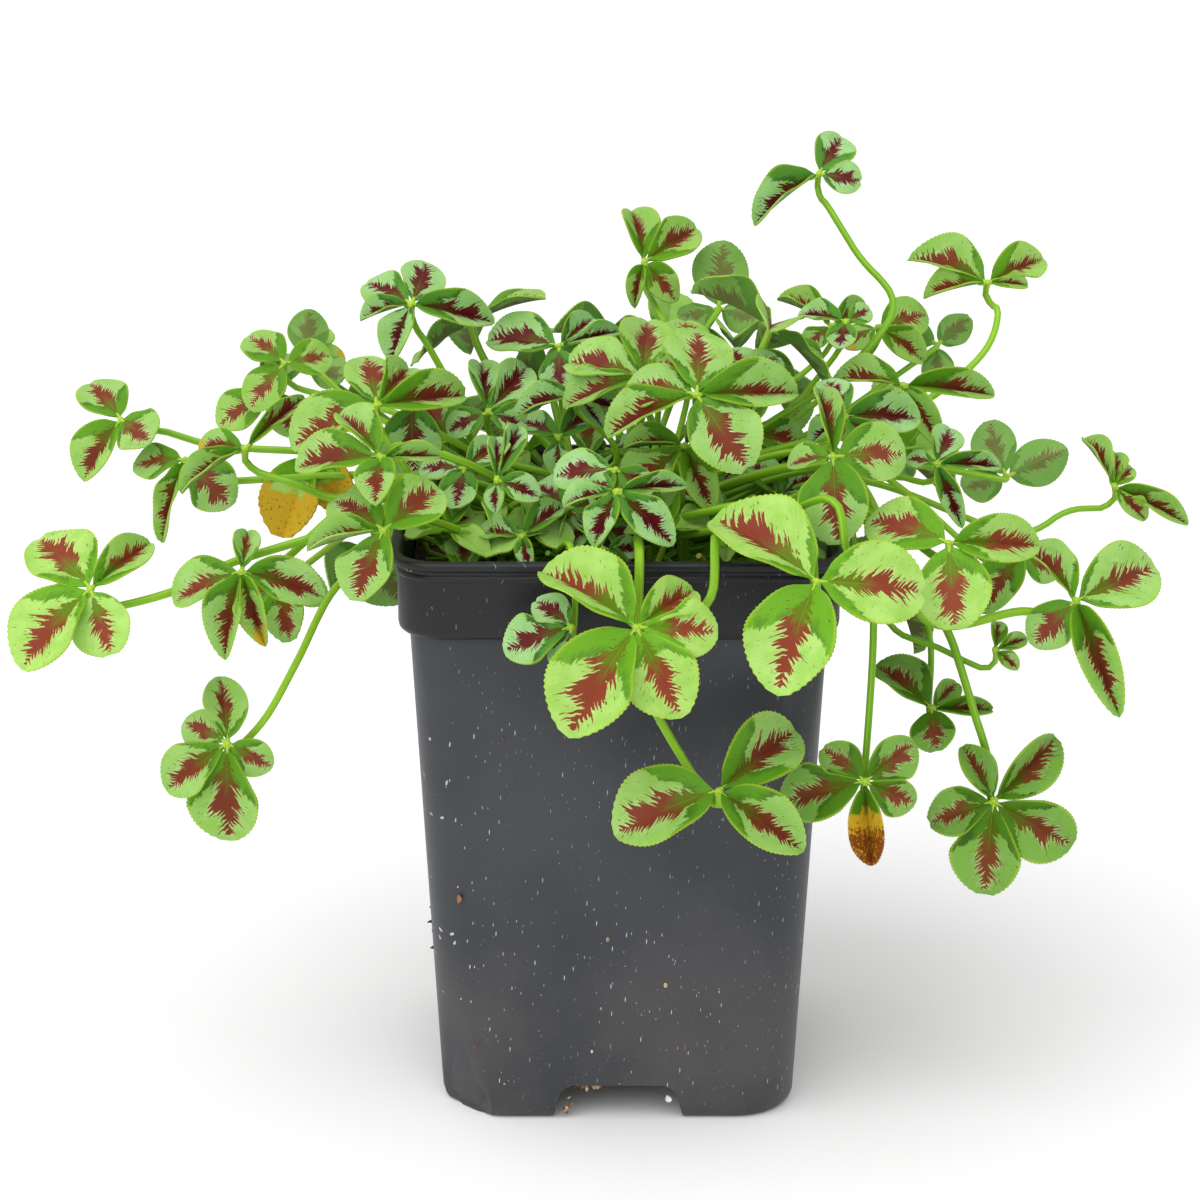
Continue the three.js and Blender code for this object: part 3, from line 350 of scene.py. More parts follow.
def level(turn):
    """A level direction, by its turn round the upright."""
    return np.array([math.cos(turn), math.sin(turn), 0.0])


def turned(across, up, toward):
    """A direction given across, up and toward the viewer, in the part's frame."""
    return ACROSS * across + UPWARD * up + TOWARD * toward


def seen_at(across, up, toward):
    """The point that is seen at (across, up) when it lies so far toward the viewer."""
    shrink = 1 - toward / VIEW_DISTANCE
    place = turned(VIEW_AIM[0] + (across - VIEW_AIM[0]) * shrink, up * shrink, toward)
    place[2] += VIEW_AIM[2]
    return place


def outline(s):
    """A leaflet's half width along it, as a share of the widest."""
    return np.maximum(np.sin(math.pi * s**1.4), 0) ** 0.62


def make_leaflet(direction, facing, length, width):
    """A leaflet's measures. One that shows narrower than its length asks for is folded."""
    along = unit(direction)
    normal = unit(facing - along * facing.dot(along))
    normal = normal * math.cos(BLADE_ROLL) + np.cross(along, normal) * math.sin(BLADE_ROLL)
    side = np.cross(normal, along)
    full = BLADE_RATIO * length
    opening = min(max(width / full, math.cos(FOLD_MAX)), math.cos(FOLD_MIN))
    return dict(
        along=along,
        normal=normal,
        side=side,
        length=length,
        width=min(full, width / opening),
        fold=math.acos(opening),
    )


def leaflet_ring(facing, first, start, whole, total, lengths, widths, draw):
    """Leaflets round a petiole's end. Lengths and widths are each a least and what is drawn on top."""
    second = np.cross(facing, first)
    leaflets = []
    for k in range(total):
        angle = start + k * whole / total
        direction = first * math.cos(angle) + second * math.sin(angle)
        length = lengths[0] + lengths[1] * draw()
        width = length * (widths[0] + widths[1] * draw())
        leaflets.append(make_leaflet(direction, facing, length, width))
    return leaflets


def front_leaf(row):
    """A front leaf from its row. What looks narrow is folded along its midrib."""
    face_right, face_up = row.get("face", FACE_USUAL)
    face_toward = math.sqrt(1 - face_right**2 - face_up**2) * (-1 if face_up < 0 else 1)
    facing = turned(face_right, face_up, face_toward)
    leaflets = []
    for degrees, seen_length, seen_width, *slope in row["leaflets"]:
        angle = math.radians(degrees)
        cos, sin = math.cos(angle), math.sin(angle)
        lie = -(face_right * cos + face_up * sin) / face_toward
        rise = slope[0] if slope else min(max(lie, -SLOPE_MAX), SLOPE_MAX)
        direction = turned(cos, sin, rise)
        length = seen_length * np.linalg.norm(direction)
        across = turned(-sin, cos, 0)
        flat = make_leaflet(direction, facing, length, seen_width)
        shown = max(SHOWN_LEAST, abs(flat["side"].dot(across)))
        leaflets.append(make_leaflet(direction, facing, length, seen_width / shown))
        leaflets[-1]["seen"] = degrees
    leaf = dict(row)
    leaf.update(head=seen_at(*row["at"]), facing=facing, leaflets=leaflets)
    leaf.update(via=row.get("via", ()), toward=row["at"][2])
    return leaf


def back_leaves():
    """The leaves behind, where nothing shows from the front: spread evenly, facing out and up."""
    draw = seeded(BACK_SEED)
    leaves = []
    for row in BACK_ROWS:
        for i in range(row["count"]):
            turn = BACK_FROM + (BACK_TO - BACK_FROM) * (i + 0.3 + 0.4 * draw()) / row["count"]
            out = level(turn)
            head = out * (row["reach"] + BACK_REACH_SPREAD * (draw() - 0.5))
            head[2] = row["height"] + BACK_HEIGHT_SPREAD * (draw() - 0.5)
            facing = out * (0.5 + 0.4 * draw())
            facing[2] = row["lift"]
            facing = unit(facing)
            first = unit(np.cross(facing, out))
            total = 3 + math.floor(draw() * 1.99)
            start = draw() * math.pi * 2
            leaflets = leaflet_ring(
                facing, first, start, 2 * math.pi, total, BACK_LENGTHS, BACK_WIDTHS, draw
            )
            leaf = dict(head=head, facing=facing, leaflets=leaflets, look="back")
            leaf.update(via=(), toward=0)
            leaves.append(leaf)
    return leaves


def square_reach(place):
    """How far a place lies from the middle of the pot, across its sides."""
    return np.maximum(np.abs(place[..., 0]), np.abs(place[..., 1]))


def smooth_path(points, count=None, step=PETIOLE_STEP):
    """Evenly spaced points on a centripetal spline through points."""
    points = np.array(points)
    spans = len(points) - 1
    before = 2 * points[0] - points[1]
    after = 2 * points[-1] - points[-2]
    knots = np.vstack([before, points, after])
    shares = np.arange(SPLINE_SAMPLES + 1) / SPLINE_SAMPLES
    dense = np.array([on_spline(knots, spans * i / SPLINE_SAMPLES) for i in range(SPLINE_SAMPLES + 1)])
    lengths = np.concatenate([[0], np.cumsum(np.linalg.norm(np.diff(dense, axis=0), axis=1))])
    count = count or max(4, math.floor(lengths[-1] / step + 0.5))
    even = np.interp(np.linspace(0, lengths[-1], count + 1), lengths, shares)
    return np.array([on_spline(knots, spans * share) for share in even])


def on_spline(knots, place):
    """The point of the spline that lies so many spans along it."""
    k = min(int(place), len(knots) - 4)
    return spline_point(*knots[k : k + 4], place - k)


def spline_point(p0, p1, p2, p3, share):
    """The point a share of the way from p1 to p2."""
    pairs = ((p0, p1), (p1, p2), (p2, p3))
    before, here, after = (max(np.linalg.norm(b - a) ** 0.5, 1e-4) for a, b in pairs)
    leave = ((p1 - p0) / before - (p2 - p0) / (before + here) + (p2 - p1) / here) * here
    arrive = ((p2 - p1) / here - (p3 - p1) / (here + after) + (p3 - p2) / after) * here
    square = -3 * p1 + 3 * p2 - 2 * leave - arrive
    cube = 2 * p1 - 2 * p2 + leave + arrive
    return p1 + leave * share + square * share**2 + cube * share**3


def via_point(across, up, toward):
    """The point of a petiole that is seen at (across, up), brought forward until it clears the pot."""
    place = seen_at(across, up, toward)
    while square_reach(place) < LIP_HALF + POT_CLEARANCE and place[2] < POT_HEIGHT + POT_CLEARANCE:
        toward += 1
        place = seen_at(across, up, toward)
    return place


def petiole_path(leaf, root, rank):
    """The petiole's points, from the top of its stem over the rim to the leaf."""
    below = leaf["facing"] * -NECK_BACK
    below[2] -= NECK_DROP
    outward = (leaf["head"] - root) * (1, 1, 0)
    rise = root + unit(outward) * ROOT_RUN
    rise[2] += ROOT_RISE + ROOT_RISE_STEP * rank
    vias = []
    for i, (across, up) in enumerate(leaf["via"]):
        share = (i + 1) / (len(leaf["via"]) + 1)
        vias.insert(0, via_point(across, up, leaf["toward"] * (1 - VIA_EASE * share)))
    points = [root, rise, *vias, leaf["head"] + below, leaf["head"]]
    outside = next((k for k, place in enumerate(points) if square_reach(place) > LIP_HALF), 0)
    if outside:
        start, end = points[outside - 1], points[outside]
        share = (LIP_HALF - square_reach(start)) / (square_reach(end) - square_reach(start))
        over = start + (end - start) * share
        height = POT_HEIGHT + RIM_CLEARANCE + OVER_RIM + OVER_RIM_STEP * rank
        if over[2] < height:
            over[2] = height
            points.insert(outside, over)
    return smooth_path(points)


def arched(length, s):
    """How far out a place s along a leaflet lies on its arch, and how far it hangs."""
    reach = BLADE_START + length * s * (1 - (BLADE_ARCH * s) ** 2 / 6)
    return reach, length * BLADE_ARCH * s * s * 0.5


def base_room(leaflet, s, reach, t):
    """The half width that the next leaflet leaves for the base of this one."""
    spacing = leaflet["room_after"] if t > 0 else leaflet["room_before"]
    if t == 0 or s > BASE_STATION or spacing > CROWD_ANGLE:
        return math.inf
    return max(BASE_LEAST, reach * math.tan(spacing / 2) - BASE_CLEARANCE) / math.cos(leaflet["fold"])


def blade_point(head, leaflet, s, t):
    """A place on a leaflet, s along it and t across it."""
    fold = leaflet["fold"]
    reach, drop = arched(leaflet["length"], s)
    half = min(0.5 * leaflet["width"] * float(outline(s)), base_room(leaflet, s, reach, t))
    lift = abs(t) * half * math.sin(fold) - drop
    sideways = t * half * math.cos(fold)
    return head + leaflet["along"] * reach + leaflet["side"] * sideways + leaflet["normal"] * lift


def order_leaflets(leaf):
    """Puts a leaf's leaflets in order round its petiole, with the angle to the next one on each side."""
    first = unit(np.cross(leaf["facing"], (0.3, 0.1, 1.0)))
    second = np.cross(leaf["facing"], first)
    for leaflet in leaf["leaflets"]:
        leaflet["heading"] = math.atan2(leaflet["along"].dot(second), leaflet["along"].dot(first))
    leaf["leaflets"].sort(key=lambda leaflet: leaflet["heading"])
    for k, leaflet in enumerate(leaf["leaflets"]):
        after = leaf["leaflets"][(k + 1) % len(leaf["leaflets"])]
        room = (after["heading"] - leaflet["heading"] + 4 * math.pi) % (2 * math.pi)
        leaflet["room_after"] = room
        after["room_before"] = room


def pot_push(place, clear):
    """The pushes that bring places clear of the pot's wall and of the soil."""
    push = np.zeros_like(place)
    reach = square_reach(place)
    inside = reach < COLLAR_HALF - WALL - clear
    soil = np.maximum(0, SOIL_TOP + SOIL_RELIEF + clear - place[:, 2])
    push[inside, 2] = soil[inside]
    outer = LIP_HALF + clear
    near = ~inside & (reach < outer) & (place[:, 2] < POT_HEIGHT + clear)
    lift = near & (place[:, 2] > POT_HEIGHT - RIM_BAND) & (reach < outer - 1)
    push[lift, 2] = (POT_HEIGHT + clear - place[:, 2])[lift]
    aside = near & ~lift
    by_x = np.abs(place[:, 0]) > np.abs(place[:, 1])
    for axis, chosen in ((0, aside & by_x), (1, aside & ~by_x)):
        push[chosen, axis] = (np.sign(place[:, axis]) * (outer - reach))[chosen]
    return push


class Feelers:
    """Points on all petioles and leaflets that keep other leaves off."""

    def __init__(self, leaves):
        rows = []
        self.starts = np.cumsum([0] + [len(leaf["path"]) for leaf in leaves])
        for number, leaf in enumerate(leaves):
            start, end = self.starts[number], self.starts[number + 1] - 1
            for k in range(1, len(leaf["path"])):
                rows.append((leaf["path"][k], number, k, CLEAR_PETIOLE, start + k))
            for leaflet in leaf["leaflets"]:
                for s, t in FEELERS:
                    rows.append((blade_point(leaf["head"], leaflet, s, t), number, -1, CLEAR_BLADE, end))
        rest, leaf_of, index, clear, slot = zip(*rows)
        self.rest = np.array(rest)
        self.leaf, self.index = np.array(leaf_of), np.array(index)
        self.clear, self.slot = np.array(clear), np.array(slot)
        self.stem = np.array([leaf["stem"] for leaf in leaves])[self.leaf]
        self.size = np.array([len(leaf["path"]) for leaf in leaves])[self.leaf]
        self.blade = self.index < 0
        self.rigid = self.blade | (self.index >= self.size - 2)

    def neighbours(self, place):
        """Pairs of points that are near each other. Petioles of one stem may meet at it."""
        squares = (place**2).sum(1)
        apart = squares[:, None] + squares - 2 * place @ place.T
        reach = self.clear[:, None] + self.clear + NEIGHBOUR_REACH
        one, two = np.nonzero(np.triu(apart <= reach**2, 1))
        most = np.maximum(self.index[one], self.index[two])
        same = self.leaf[one] == self.leaf[two]
        own = (self.blade[one] != self.blade[two]) & (most < self.size[one] - 3) & (most > 0)
        low = (np.minimum(self.index[one], self.index[two]) > 0) & (most < NEAR_ROOT)
        at_root = low & (self.stem[one] == self.stem[two])
        kept = (~same | own) & ~at_root
        return one[kept], two[kept]


def lift_over_rim(feelers, place, push):
    """Lifts a petiole where it passes the pot's wall lower than the rim."""
    together = feelers.leaf[:-1] == feelers.leaf[1:]
    one = np.flatnonzero(together & ~feelers.blade[:-1] & ~feelers.blade[1:])
    two = one + 1
    for wall in (COLLAR_HALF - WALL, LIP_HALF):
        start = square_reach(place[one]) - wall
        end = square_reach(place[two]) - wall
        share = start / np.where(start == end, 1, start - end)
        height = place[one, 2] + (place[two, 2] - place[one, 2]) * share
        lift = np.where(start * end < 0, np.maximum(0, POT_HEIGHT + RIM_CLEARANCE - height), 0)
        np.add.at(push[:, 2], one, lift)
        np.add.at(push[:, 2], two, lift)


def settle(leaves):
    """Moves the leaves apart where they would cross: a head moves with its leaflets, mostly toward or
    away from the viewer, and a petiole bends."""
    feelers = Feelers(leaves)
    starts = feelers.starts
    bends = np.zeros((starts[-1], 3))
    shift = np.zeros((len(leaves), 3))
    interior = np.ones(starts[-1], bool)
    ends = starts[1:] - 1
    for k in (starts[:-1], ends, ends - 1):
        interior[k] = False
    inside = np.flatnonzero(interior)
    clearance = np.where(feelers.blade, POT_CLEARANCE, RIM_CLEARANCE)
    for turn in range(SETTLE_ROUNDS):
        place = feelers.rest + bends[feelers.slot]
        push = np.zeros_like(place)
        for clear in (POT_CLEARANCE, RIM_CLEARANCE):
            chosen = clearance == clear
            push[chosen] = pot_push(place[chosen], clear)
        if turn % NEIGHBOUR_ROUNDS == 0:
            one, two = feelers.neighbours(place)
            own = feelers.leaf[one] == feelers.leaf[two]
            need = feelers.clear[one] + feelers.clear[two]
            gives_one = ~own | ~feelers.blade[one]
            gives_two = ~own | ~feelers.blade[two]
        gap = place[one] - place[two]
        apart = np.linalg.norm(gap, axis=1)
        gap *= (np.maximum(0, need - apart) / (2 * np.maximum(apart, APART_LEAST)))[:, None]
        np.add.at(push, one[gives_one], gap[gives_one])
        np.add.at(push, two[gives_two], -gap[gives_two])
        lift_over_rim(feelers, place, push)
        bent = ~feelers.rigid
        bends[feelers.slot[bent]] += PUSH_SHARE * push[bent]
        moved = feelers.rigid & ((push**2).sum(1) > 0)
        total = np.zeros_like(shift)
        count = np.zeros(len(leaves))
        np.add.at(total, feelers.leaf[moved], push[moved])
        np.add.at(count, feelers.leaf[moved], 1)
        sideways = EASE_EARLY if turn < EARLY_ROUNDS * SETTLE_ROUNDS else EASE_LATE
        move = sideways * (np.outer(total @ ACROSS, ACROSS) + np.outer(total @ UPWARD, UPWARD))
        move += np.outer(total @ TOWARD, TOWARD)
        shift += move * (PUSH_SHARE / np.sqrt(np.maximum(count, 1)))[:, None]
        bends[ends] = shift
        bends[ends - 1] = shift
        middle = 0.5 * (bends[inside - 1] + bends[inside + 1])
        bends[inside] += BEND_EVENING * (middle - bends[inside])
    for number, leaf in enumerate(leaves):
        leaf["head"] = leaf["head"] + shift[number]
        leaf["path"] = leaf["path"] + bends[starts[number] : starts[number + 1]]


def grow_plant():
    """All leaves, shared out to the stems by their direction from the middle, then settled."""
    leaves = [front_leaf(row) for row in FRONT_LEAVES] + back_leaves()
    for leaf in leaves:
        order_leaflets(leaf)

    def heading(leaf):
        return math.atan2(leaf["head"][1], leaf["head"][0])

    leaves.sort(key=heading)
    stems = []
    for i in range(0, len(leaves), LEAVES_PER_STEM):
        own = leaves[i : i + LEAVES_PER_STEM]
        turn = heading(own[len(own) // 2])
        radius = CROWN_RADII[len(stems) % len(CROWN_RADII)]
        foot = level(turn) * radius
        foot[2] = STEM_FOOT
        own.sort(key=lambda leaf: leaf["head"][2])
        for rank, leaf in enumerate(own):
            root = foot.copy()
            root[2] = FIRST_LEAF_HEIGHT + LEAF_SPACING * rank
            leaf["stem"] = len(stems)
            leaf["path"] = petiole_path(leaf, root, rank)
        stems.append(dict(foot=foot, leaves=own))
    settle(leaves)
    return stems


def clear_selection():
    if bpy.context.object and bpy.context.object.mode != "OBJECT":
        set_mode("OBJECT")
    bpy.ops.object.select_all(action="DESELECT")


def pick(*pieces):
    """Selects pieces alone. The last one is the active one."""
    clear_selection()
    for piece in pieces:
        piece.select_set(True)
    bpy.context.view_layer.objects.active = pieces[-1]


def add_primitive(kind, **settings):
    """Adds one of Blender's own forms as an object of its own."""
    clear_selection()
    getattr(bpy.ops.mesh, f"primitive_{kind}_add")(**settings)
    return bpy.context.object


def set_mode(mode):
    bpy.ops.object.mode_set(mode=mode)


def copy_of(blank):
    piece = blank.copy()
    piece.data = blank.data.copy()
    bpy.context.collection.objects.link(piece)
    return piece


def bake_placing(piece):
    """Puts a piece's turn and scale into its mesh."""
    pick(piece)
    bpy.ops.object.transform_apply(location=True, rotation=True, scale=True)


def smooth_below(piece, degrees):
    """Shades a piece smooth where its faces meet at less than this angle."""
    pick(piece)
    bpy.ops.object.shade_smooth_by_angle(angle=math.radians(degrees))


def apply_modifier(piece, kind, **settings):
    pick(piece)
    modifier = piece.modifiers.new(kind, kind)
    for name, value in settings.items():
        setattr(modifier, name, value)
    bpy.ops.object.modifier_apply(modifier=modifier.name)


def join_pieces(pieces, name):
    """Joins pieces into the last of them and names it."""
    pick(*pieces)
    if len(pieces) > 1:
        bpy.ops.object.join()
    piece = bpy.context.object
    piece.name = name
    piece.data.name = name
    return piece


def coordinates(piece):
    places = np.empty(len(piece.data.vertices) * 3)
    piece.data.vertices.foreach_get("co", places)
    return places.reshape(-1, 3)


def set_coordinates(piece, places):
    piece.data.vertices.foreach_set("co", np.asarray(places, float).ravel())
    piece.data.update()


def set_attribute(piece, name, values):
    """A colour for each vertex, or the same for all."""
    attribute = piece.data.color_attributes.new(name, "FLOAT_COLOR", "POINT")
    values = np.broadcast_to(np.asarray(values, float), (len(piece.data.vertices), 4))
    attribute.data.foreach_set("color", values.ravel())


# The leaflet that all others are bent from: one long, and one wide at half its widest.
TOOTH_DEPTH = 0.028
TOOTH_LEAN = 0.35
TOOTHED_FROM = 0.12
TOOTHED_TO = 0.99
BASE_TAPER = 0.1
FINE_BLANK = dict(teeth=26, columns=8)
LOW_BLANK = dict(teeth=14, columns=4)


def margin(s):
    """A fine leaflet's half width along it, a little rounder than its solid."""
    return np.maximum(np.sin(math.pi * s**1.22), 0) ** 0.54


def leaflet_blank(teeth, columns):
    """A flat leaflet with a toothed margin. Its rows lie across it, from the base to the tip."""
    rows = 2 * teeth
    blank = add_primitive("grid", x_subdivisions=rows, y_subdivisions=columns, size=1)
    blank.name = "leaflet_blank"
    set_mode("EDIT")
    bpy.ops.transform.translate(value=(0.5, 0, 0))
    mesh = bmesh.from_edit_mesh(blank.data)
    for row in range(rows + 1):
        s = row / rows
        taper = min(1, s / BASE_TAPER) ** 0.5
        width = 2 * float(margin(s)) * taper
        toothed = row % 2 and TOOTHED_FROM < s < TOOTHED_TO
        for vertex in mesh.verts:
            vertex.select = abs(vertex.co.x - s) < 0.2 / rows
        mesh.select_flush_mode()
        bpy.ops.transform.resize(value=(1, max(width, 1e-4), 1), center_override=(0, 0, 0))
        for vertex in mesh.verts:
            on_row = abs(vertex.co.x - s) < 0.2 / rows
            vertex.select = on_row and abs(vertex.co.y) > 0.49 * width
        mesh.select_flush_mode()
        if toothed:
            wider = 1 + 2 * TOOTH_DEPTH / max(width, 0.2)
            bpy.ops.transform.resize(value=(1, wider, 1), center_override=(0, 0, 0))
            bpy.ops.transform.translate(value=(TOOTH_LEAN / rows, 0, 0))
    bpy.ops.mesh.select_all(action="SELECT")
    bpy.ops.mesh.remove_doubles(threshold=0.0005)
    set_mode("OBJECT")
    return blank


def srgb(red, green, blue):
    """A colour from its 8-bit values, as Blender counts it."""
    shares = np.array([red, green, blue]) / 255
    linear = np.where(shares <= 0.04045, shares / 12.92, ((shares + 0.055) / 1.055) ** 2.4)
    return (*linear.tolist(), 1.0)


class Wiring:
    """Adds nodes to a material or a group and joins them up."""

    def __init__(self, tree):
        self.tree = tree

    def join(self, value, socket):
        if isinstance(value, bpy.types.NodeSocket):
            self.tree.links.new(value, socket)
        else:
            socket.default_value = value

    def node(self, kind, inputs=None, **settings):
        node = self.tree.nodes.new("ShaderNode" + kind)
        for name, value in settings.items():
            setattr(node, name, value)
        for name, value in (inputs or {}).items():
            self.join(value, node.inputs[name])
        return node

    def math(self, operation, *values):
        node = self.node("Math", operation=operation)
        for value, socket in zip(values, node.inputs):
            self.join(value, socket)
        return node.outputs[0]

    def add(self, *values):
        return self.math("ADD", *values)

    def less(self, *values):
        return self.math("SUBTRACT", *values)

    def times(self, *values):
        return self.math("MULTIPLY", *values)

    def fade(self, value, low, high, first=0.0, last=1.0):
        """From first, below low, smoothly to last, above high."""
        inputs = {"Value": value, "From Min": low, "From Max": high, "To Min": first, "To Max": last}
        return self.node("MapRange", inputs, interpolation_type="SMOOTHSTEP").outputs["Result"]

    def mix(self, share, one, two, blend="MIX"):
        node = self.node("Mix", data_type="RGBA", blend_type=blend)
        for value, socket in zip((share, one, two), (node.inputs[0], node.inputs[6], node.inputs[7])):
            self.join(value, socket)
        return node.outputs[2]

    def point(self, x, y=0.0, z=0.0):
        return self.node("CombineXYZ", {"X": x, "Y": y, "Z": z}).outputs[0]

    def noise(self, place, scale=1.0, detail=2.0, dimensions="3D"):
        inputs = {"W" if dimensions == "1D" else "Vector": place, "Scale": scale, "Detail": detail}
        return self.node("TexNoise", inputs, noise_dimensions=dimensions).outputs["Fac"]

    def cells(self, place, dimensions):
        inputs = {"W" if dimensions == "1D" else "Vector": place, "Scale": 1.0}
        return self.node("TexVoronoi", inputs, voronoi_dimensions=dimensions).outputs

    def axes(self, vector):
        return self.node("SeparateXYZ", {"Vector": vector}).outputs

    def channels(self, colour):
        return self.node("SeparateColor", {"Color": colour}).outputs

    def own_place(self):
        return self.node("TexCoord").outputs["Object"]

    def finish(self, shader, colour, rough, specular, bump):
        """Fills in a shader. Bump is its height, strength and distance in metres."""
        self.join(colour, shader.inputs["Base Color"])
        self.join(rough, shader.inputs["Roughness"])
        self.join(specular, shader.inputs["Specular IOR Level"])
        relief = self.node("Bump", dict(zip(("Height", "Strength", "Distance"), bump)))
        self.join(relief.outputs[0], shader.inputs["Normal"])


def shader_group(name, inputs, outputs):
    """An empty node group with these sockets, its wiring and its two ends."""
    group = bpy.data.node_groups.new(name, "ShaderNodeTree")
    for socket, (kind, value) in inputs.items():
        made = group.interface.new_socket(socket, in_out="INPUT", socket_type="NodeSocket" + kind)
        if value is not None:
            made.default_value = value
    for socket, kind in outputs.items():
        group.interface.new_socket(socket, in_out="OUTPUT", socket_type="NodeSocket" + kind)
    start = group.nodes.new("NodeGroupInput")
    end = group.nodes.new("NodeGroupOutput")
    return group, Wiring(group), start.outputs, end.inputs


def new_material(name):
    """A material with its wiring, its shader and its output."""
    material = bpy.data.materials.new(name)
    material.use_nodes = True
    material.node_tree.nodes.clear()
    wires = Wiring(material.node_tree)
    shader = wires.node("BsdfPrincipled")
    output = wires.node("OutputMaterial", {"Surface": shader.outputs[0]})
    return material, wires, shader, output


def grown_inputs(w):
    """The UV map of a leaflet or stalk with its two parts, and the tones and draw of its look."""
    uv = w.node("UVMap", uv_map="UVMap").outputs[0]
    look = w.node("VertexColor", layer_name="look").outputs
    tones = w.channels(look["Color"])
    return uv, w.axes(uv), (tones["Red"], tones["Green"], tones["Blue"]), look["Alpha"]


def feather_marks():
    """Marks of a clover leaflet, along its UV map: u from base to tip, v across, in its own lengths."""
    inputs = {"UV": ("Vector", None)}
    inputs.update({"Draw": ("Float", 0.5), "Base": ("Float", 0.3), "Size": ("Float", 1.0)})
    outputs = dict.fromkeys(("Blotch", "Slivers", "Base", "Feather", "Specks", "Veins"), "Float")
    group, w, given, out = shader_group("feather_marks", inputs, outputs)
    parts = w.axes(given["UV"])
    along = parts["X"]
    across = w.less(parts["Y"], 0.5)
    away = w.math("ABSOLUTE", across)
    side = w.math("SIGN", across)
    own = w.add(w.times(given["Draw"], 37.0), w.times(side, 5.0))
    stray = w.noise(w.point(w.times(along, 5.0), w.times(across, 7.0), own))
    vein = w.less(along, w.times(away, 0.85))
    vein = w.add(vein, w.times(w.less(stray, 0.5), 0.09))
    barbs = w.cells(w.add(w.times(vein, 24.0), own), dimensions="1D")
    tent = w.less(1.0, w.times(barbs["Distance"], 2.2))
    tent = w.math("MAXIMUM", tent, 0.0)
    sizes = w.channels(barbs["Color"])
    barb_size, cut_size = sizes["Red"], sizes["Green"]

    # Half width of the blotch by the vein that it is reached on.
    rise = w.fade(vein, 0.02, 0.34)
    fall = w.fade(vein, 0.5, 0.95, 1.0, 0.12)
    swell = w.noise(w.add(w.times(vein, 6.0), own), dimensions="1D")
    swell = w.fade(swell, 0.32, 0.68, 0.6, 1.3)
    body = w.times(w.times(w.times(rise, fall), swell), w.times(given["Size"], 0.138))
    reach = w.times(tent, w.add(0.012, w.times(w.times(barb_size, barb_size), 0.1)))
    cut = w.times(w.fade(tent, 0.0, 0.5, 1.0, 0.0), w.times(cut_size, 0.07))
    reach = w.times(w.less(reach, cut), w.times(rise, w.fade(vein, 0.86, 0.96, 1.0, 0.0)))
    edge = w.add(body, w.less(reach, w.fade(along, 0.93, 0.98, 0.0, 0.3)))
    past = w.less(away, edge)
    w.join(w.fade(past, -0.004, 0.005, 1.0, 0.0), out["Blotch"])
    between = w.times(w.fade(past, 0.0, 0.01), w.fade(past, 0.015, 0.07, 1.0, 0.0))
    between = w.times(between, w.fade(tent, 0.1, 0.7, 1.0, 0.25))
    w.join(w.times(between, w.fade(along, 0.35, 0.6)), out["Slivers"])

    # The greener base, its edge feathered along the veins.
    low = w.noise(w.point(w.times(vein, 3.0), w.times(across, 6.0), own))
    line = w.add(given["Base"], w.times(w.less(low, 0.5), 0.22))
    streak = w.noise(w.point(w.times(vein, 8.0), w.times(across, 46.0), own), detail=3.0)
    line = w.add(line, w.times(w.less(streak, 0.5), 0.13))
    inside = w.less(line, vein)
    w.join(w.fade(inside, -0.008, 0.012), out["Base"])
    dark = w.times(w.fade(inside, -0.012, 0.0), w.fade(inside, 0.01, 0.13, 1.0, 0.0))
    dark = w.times(dark, w.fade(away, 0.03, 0.1))
    patchy = w.noise(w.point(w.times(along, 3.0), w.times(across, 5.0), own), scale=1.6)
    w.join(w.times(dark, w.fade(patchy, 0.36, 0.56)), out["Feather"])

    # Dashes along the veins.
    dash = w.noise(w.point(w.times(vein, 62.0), w.times(away, 17.0), w.add(own, 3.0)), detail=1.0)
    near = w.fade(past, 0.0, 0.12, 1.0, 0.0)
    dash = w.fade(w.add(dash, w.times(near, 0.1)), 0.72, 0.74)
    w.join(w.times(dash, w.fade(past, 0.004, 0.02)), out["Specks"])
    w.join(w.math("SINE", w.times(vein, 150.0)), out["Veins"])
    return group


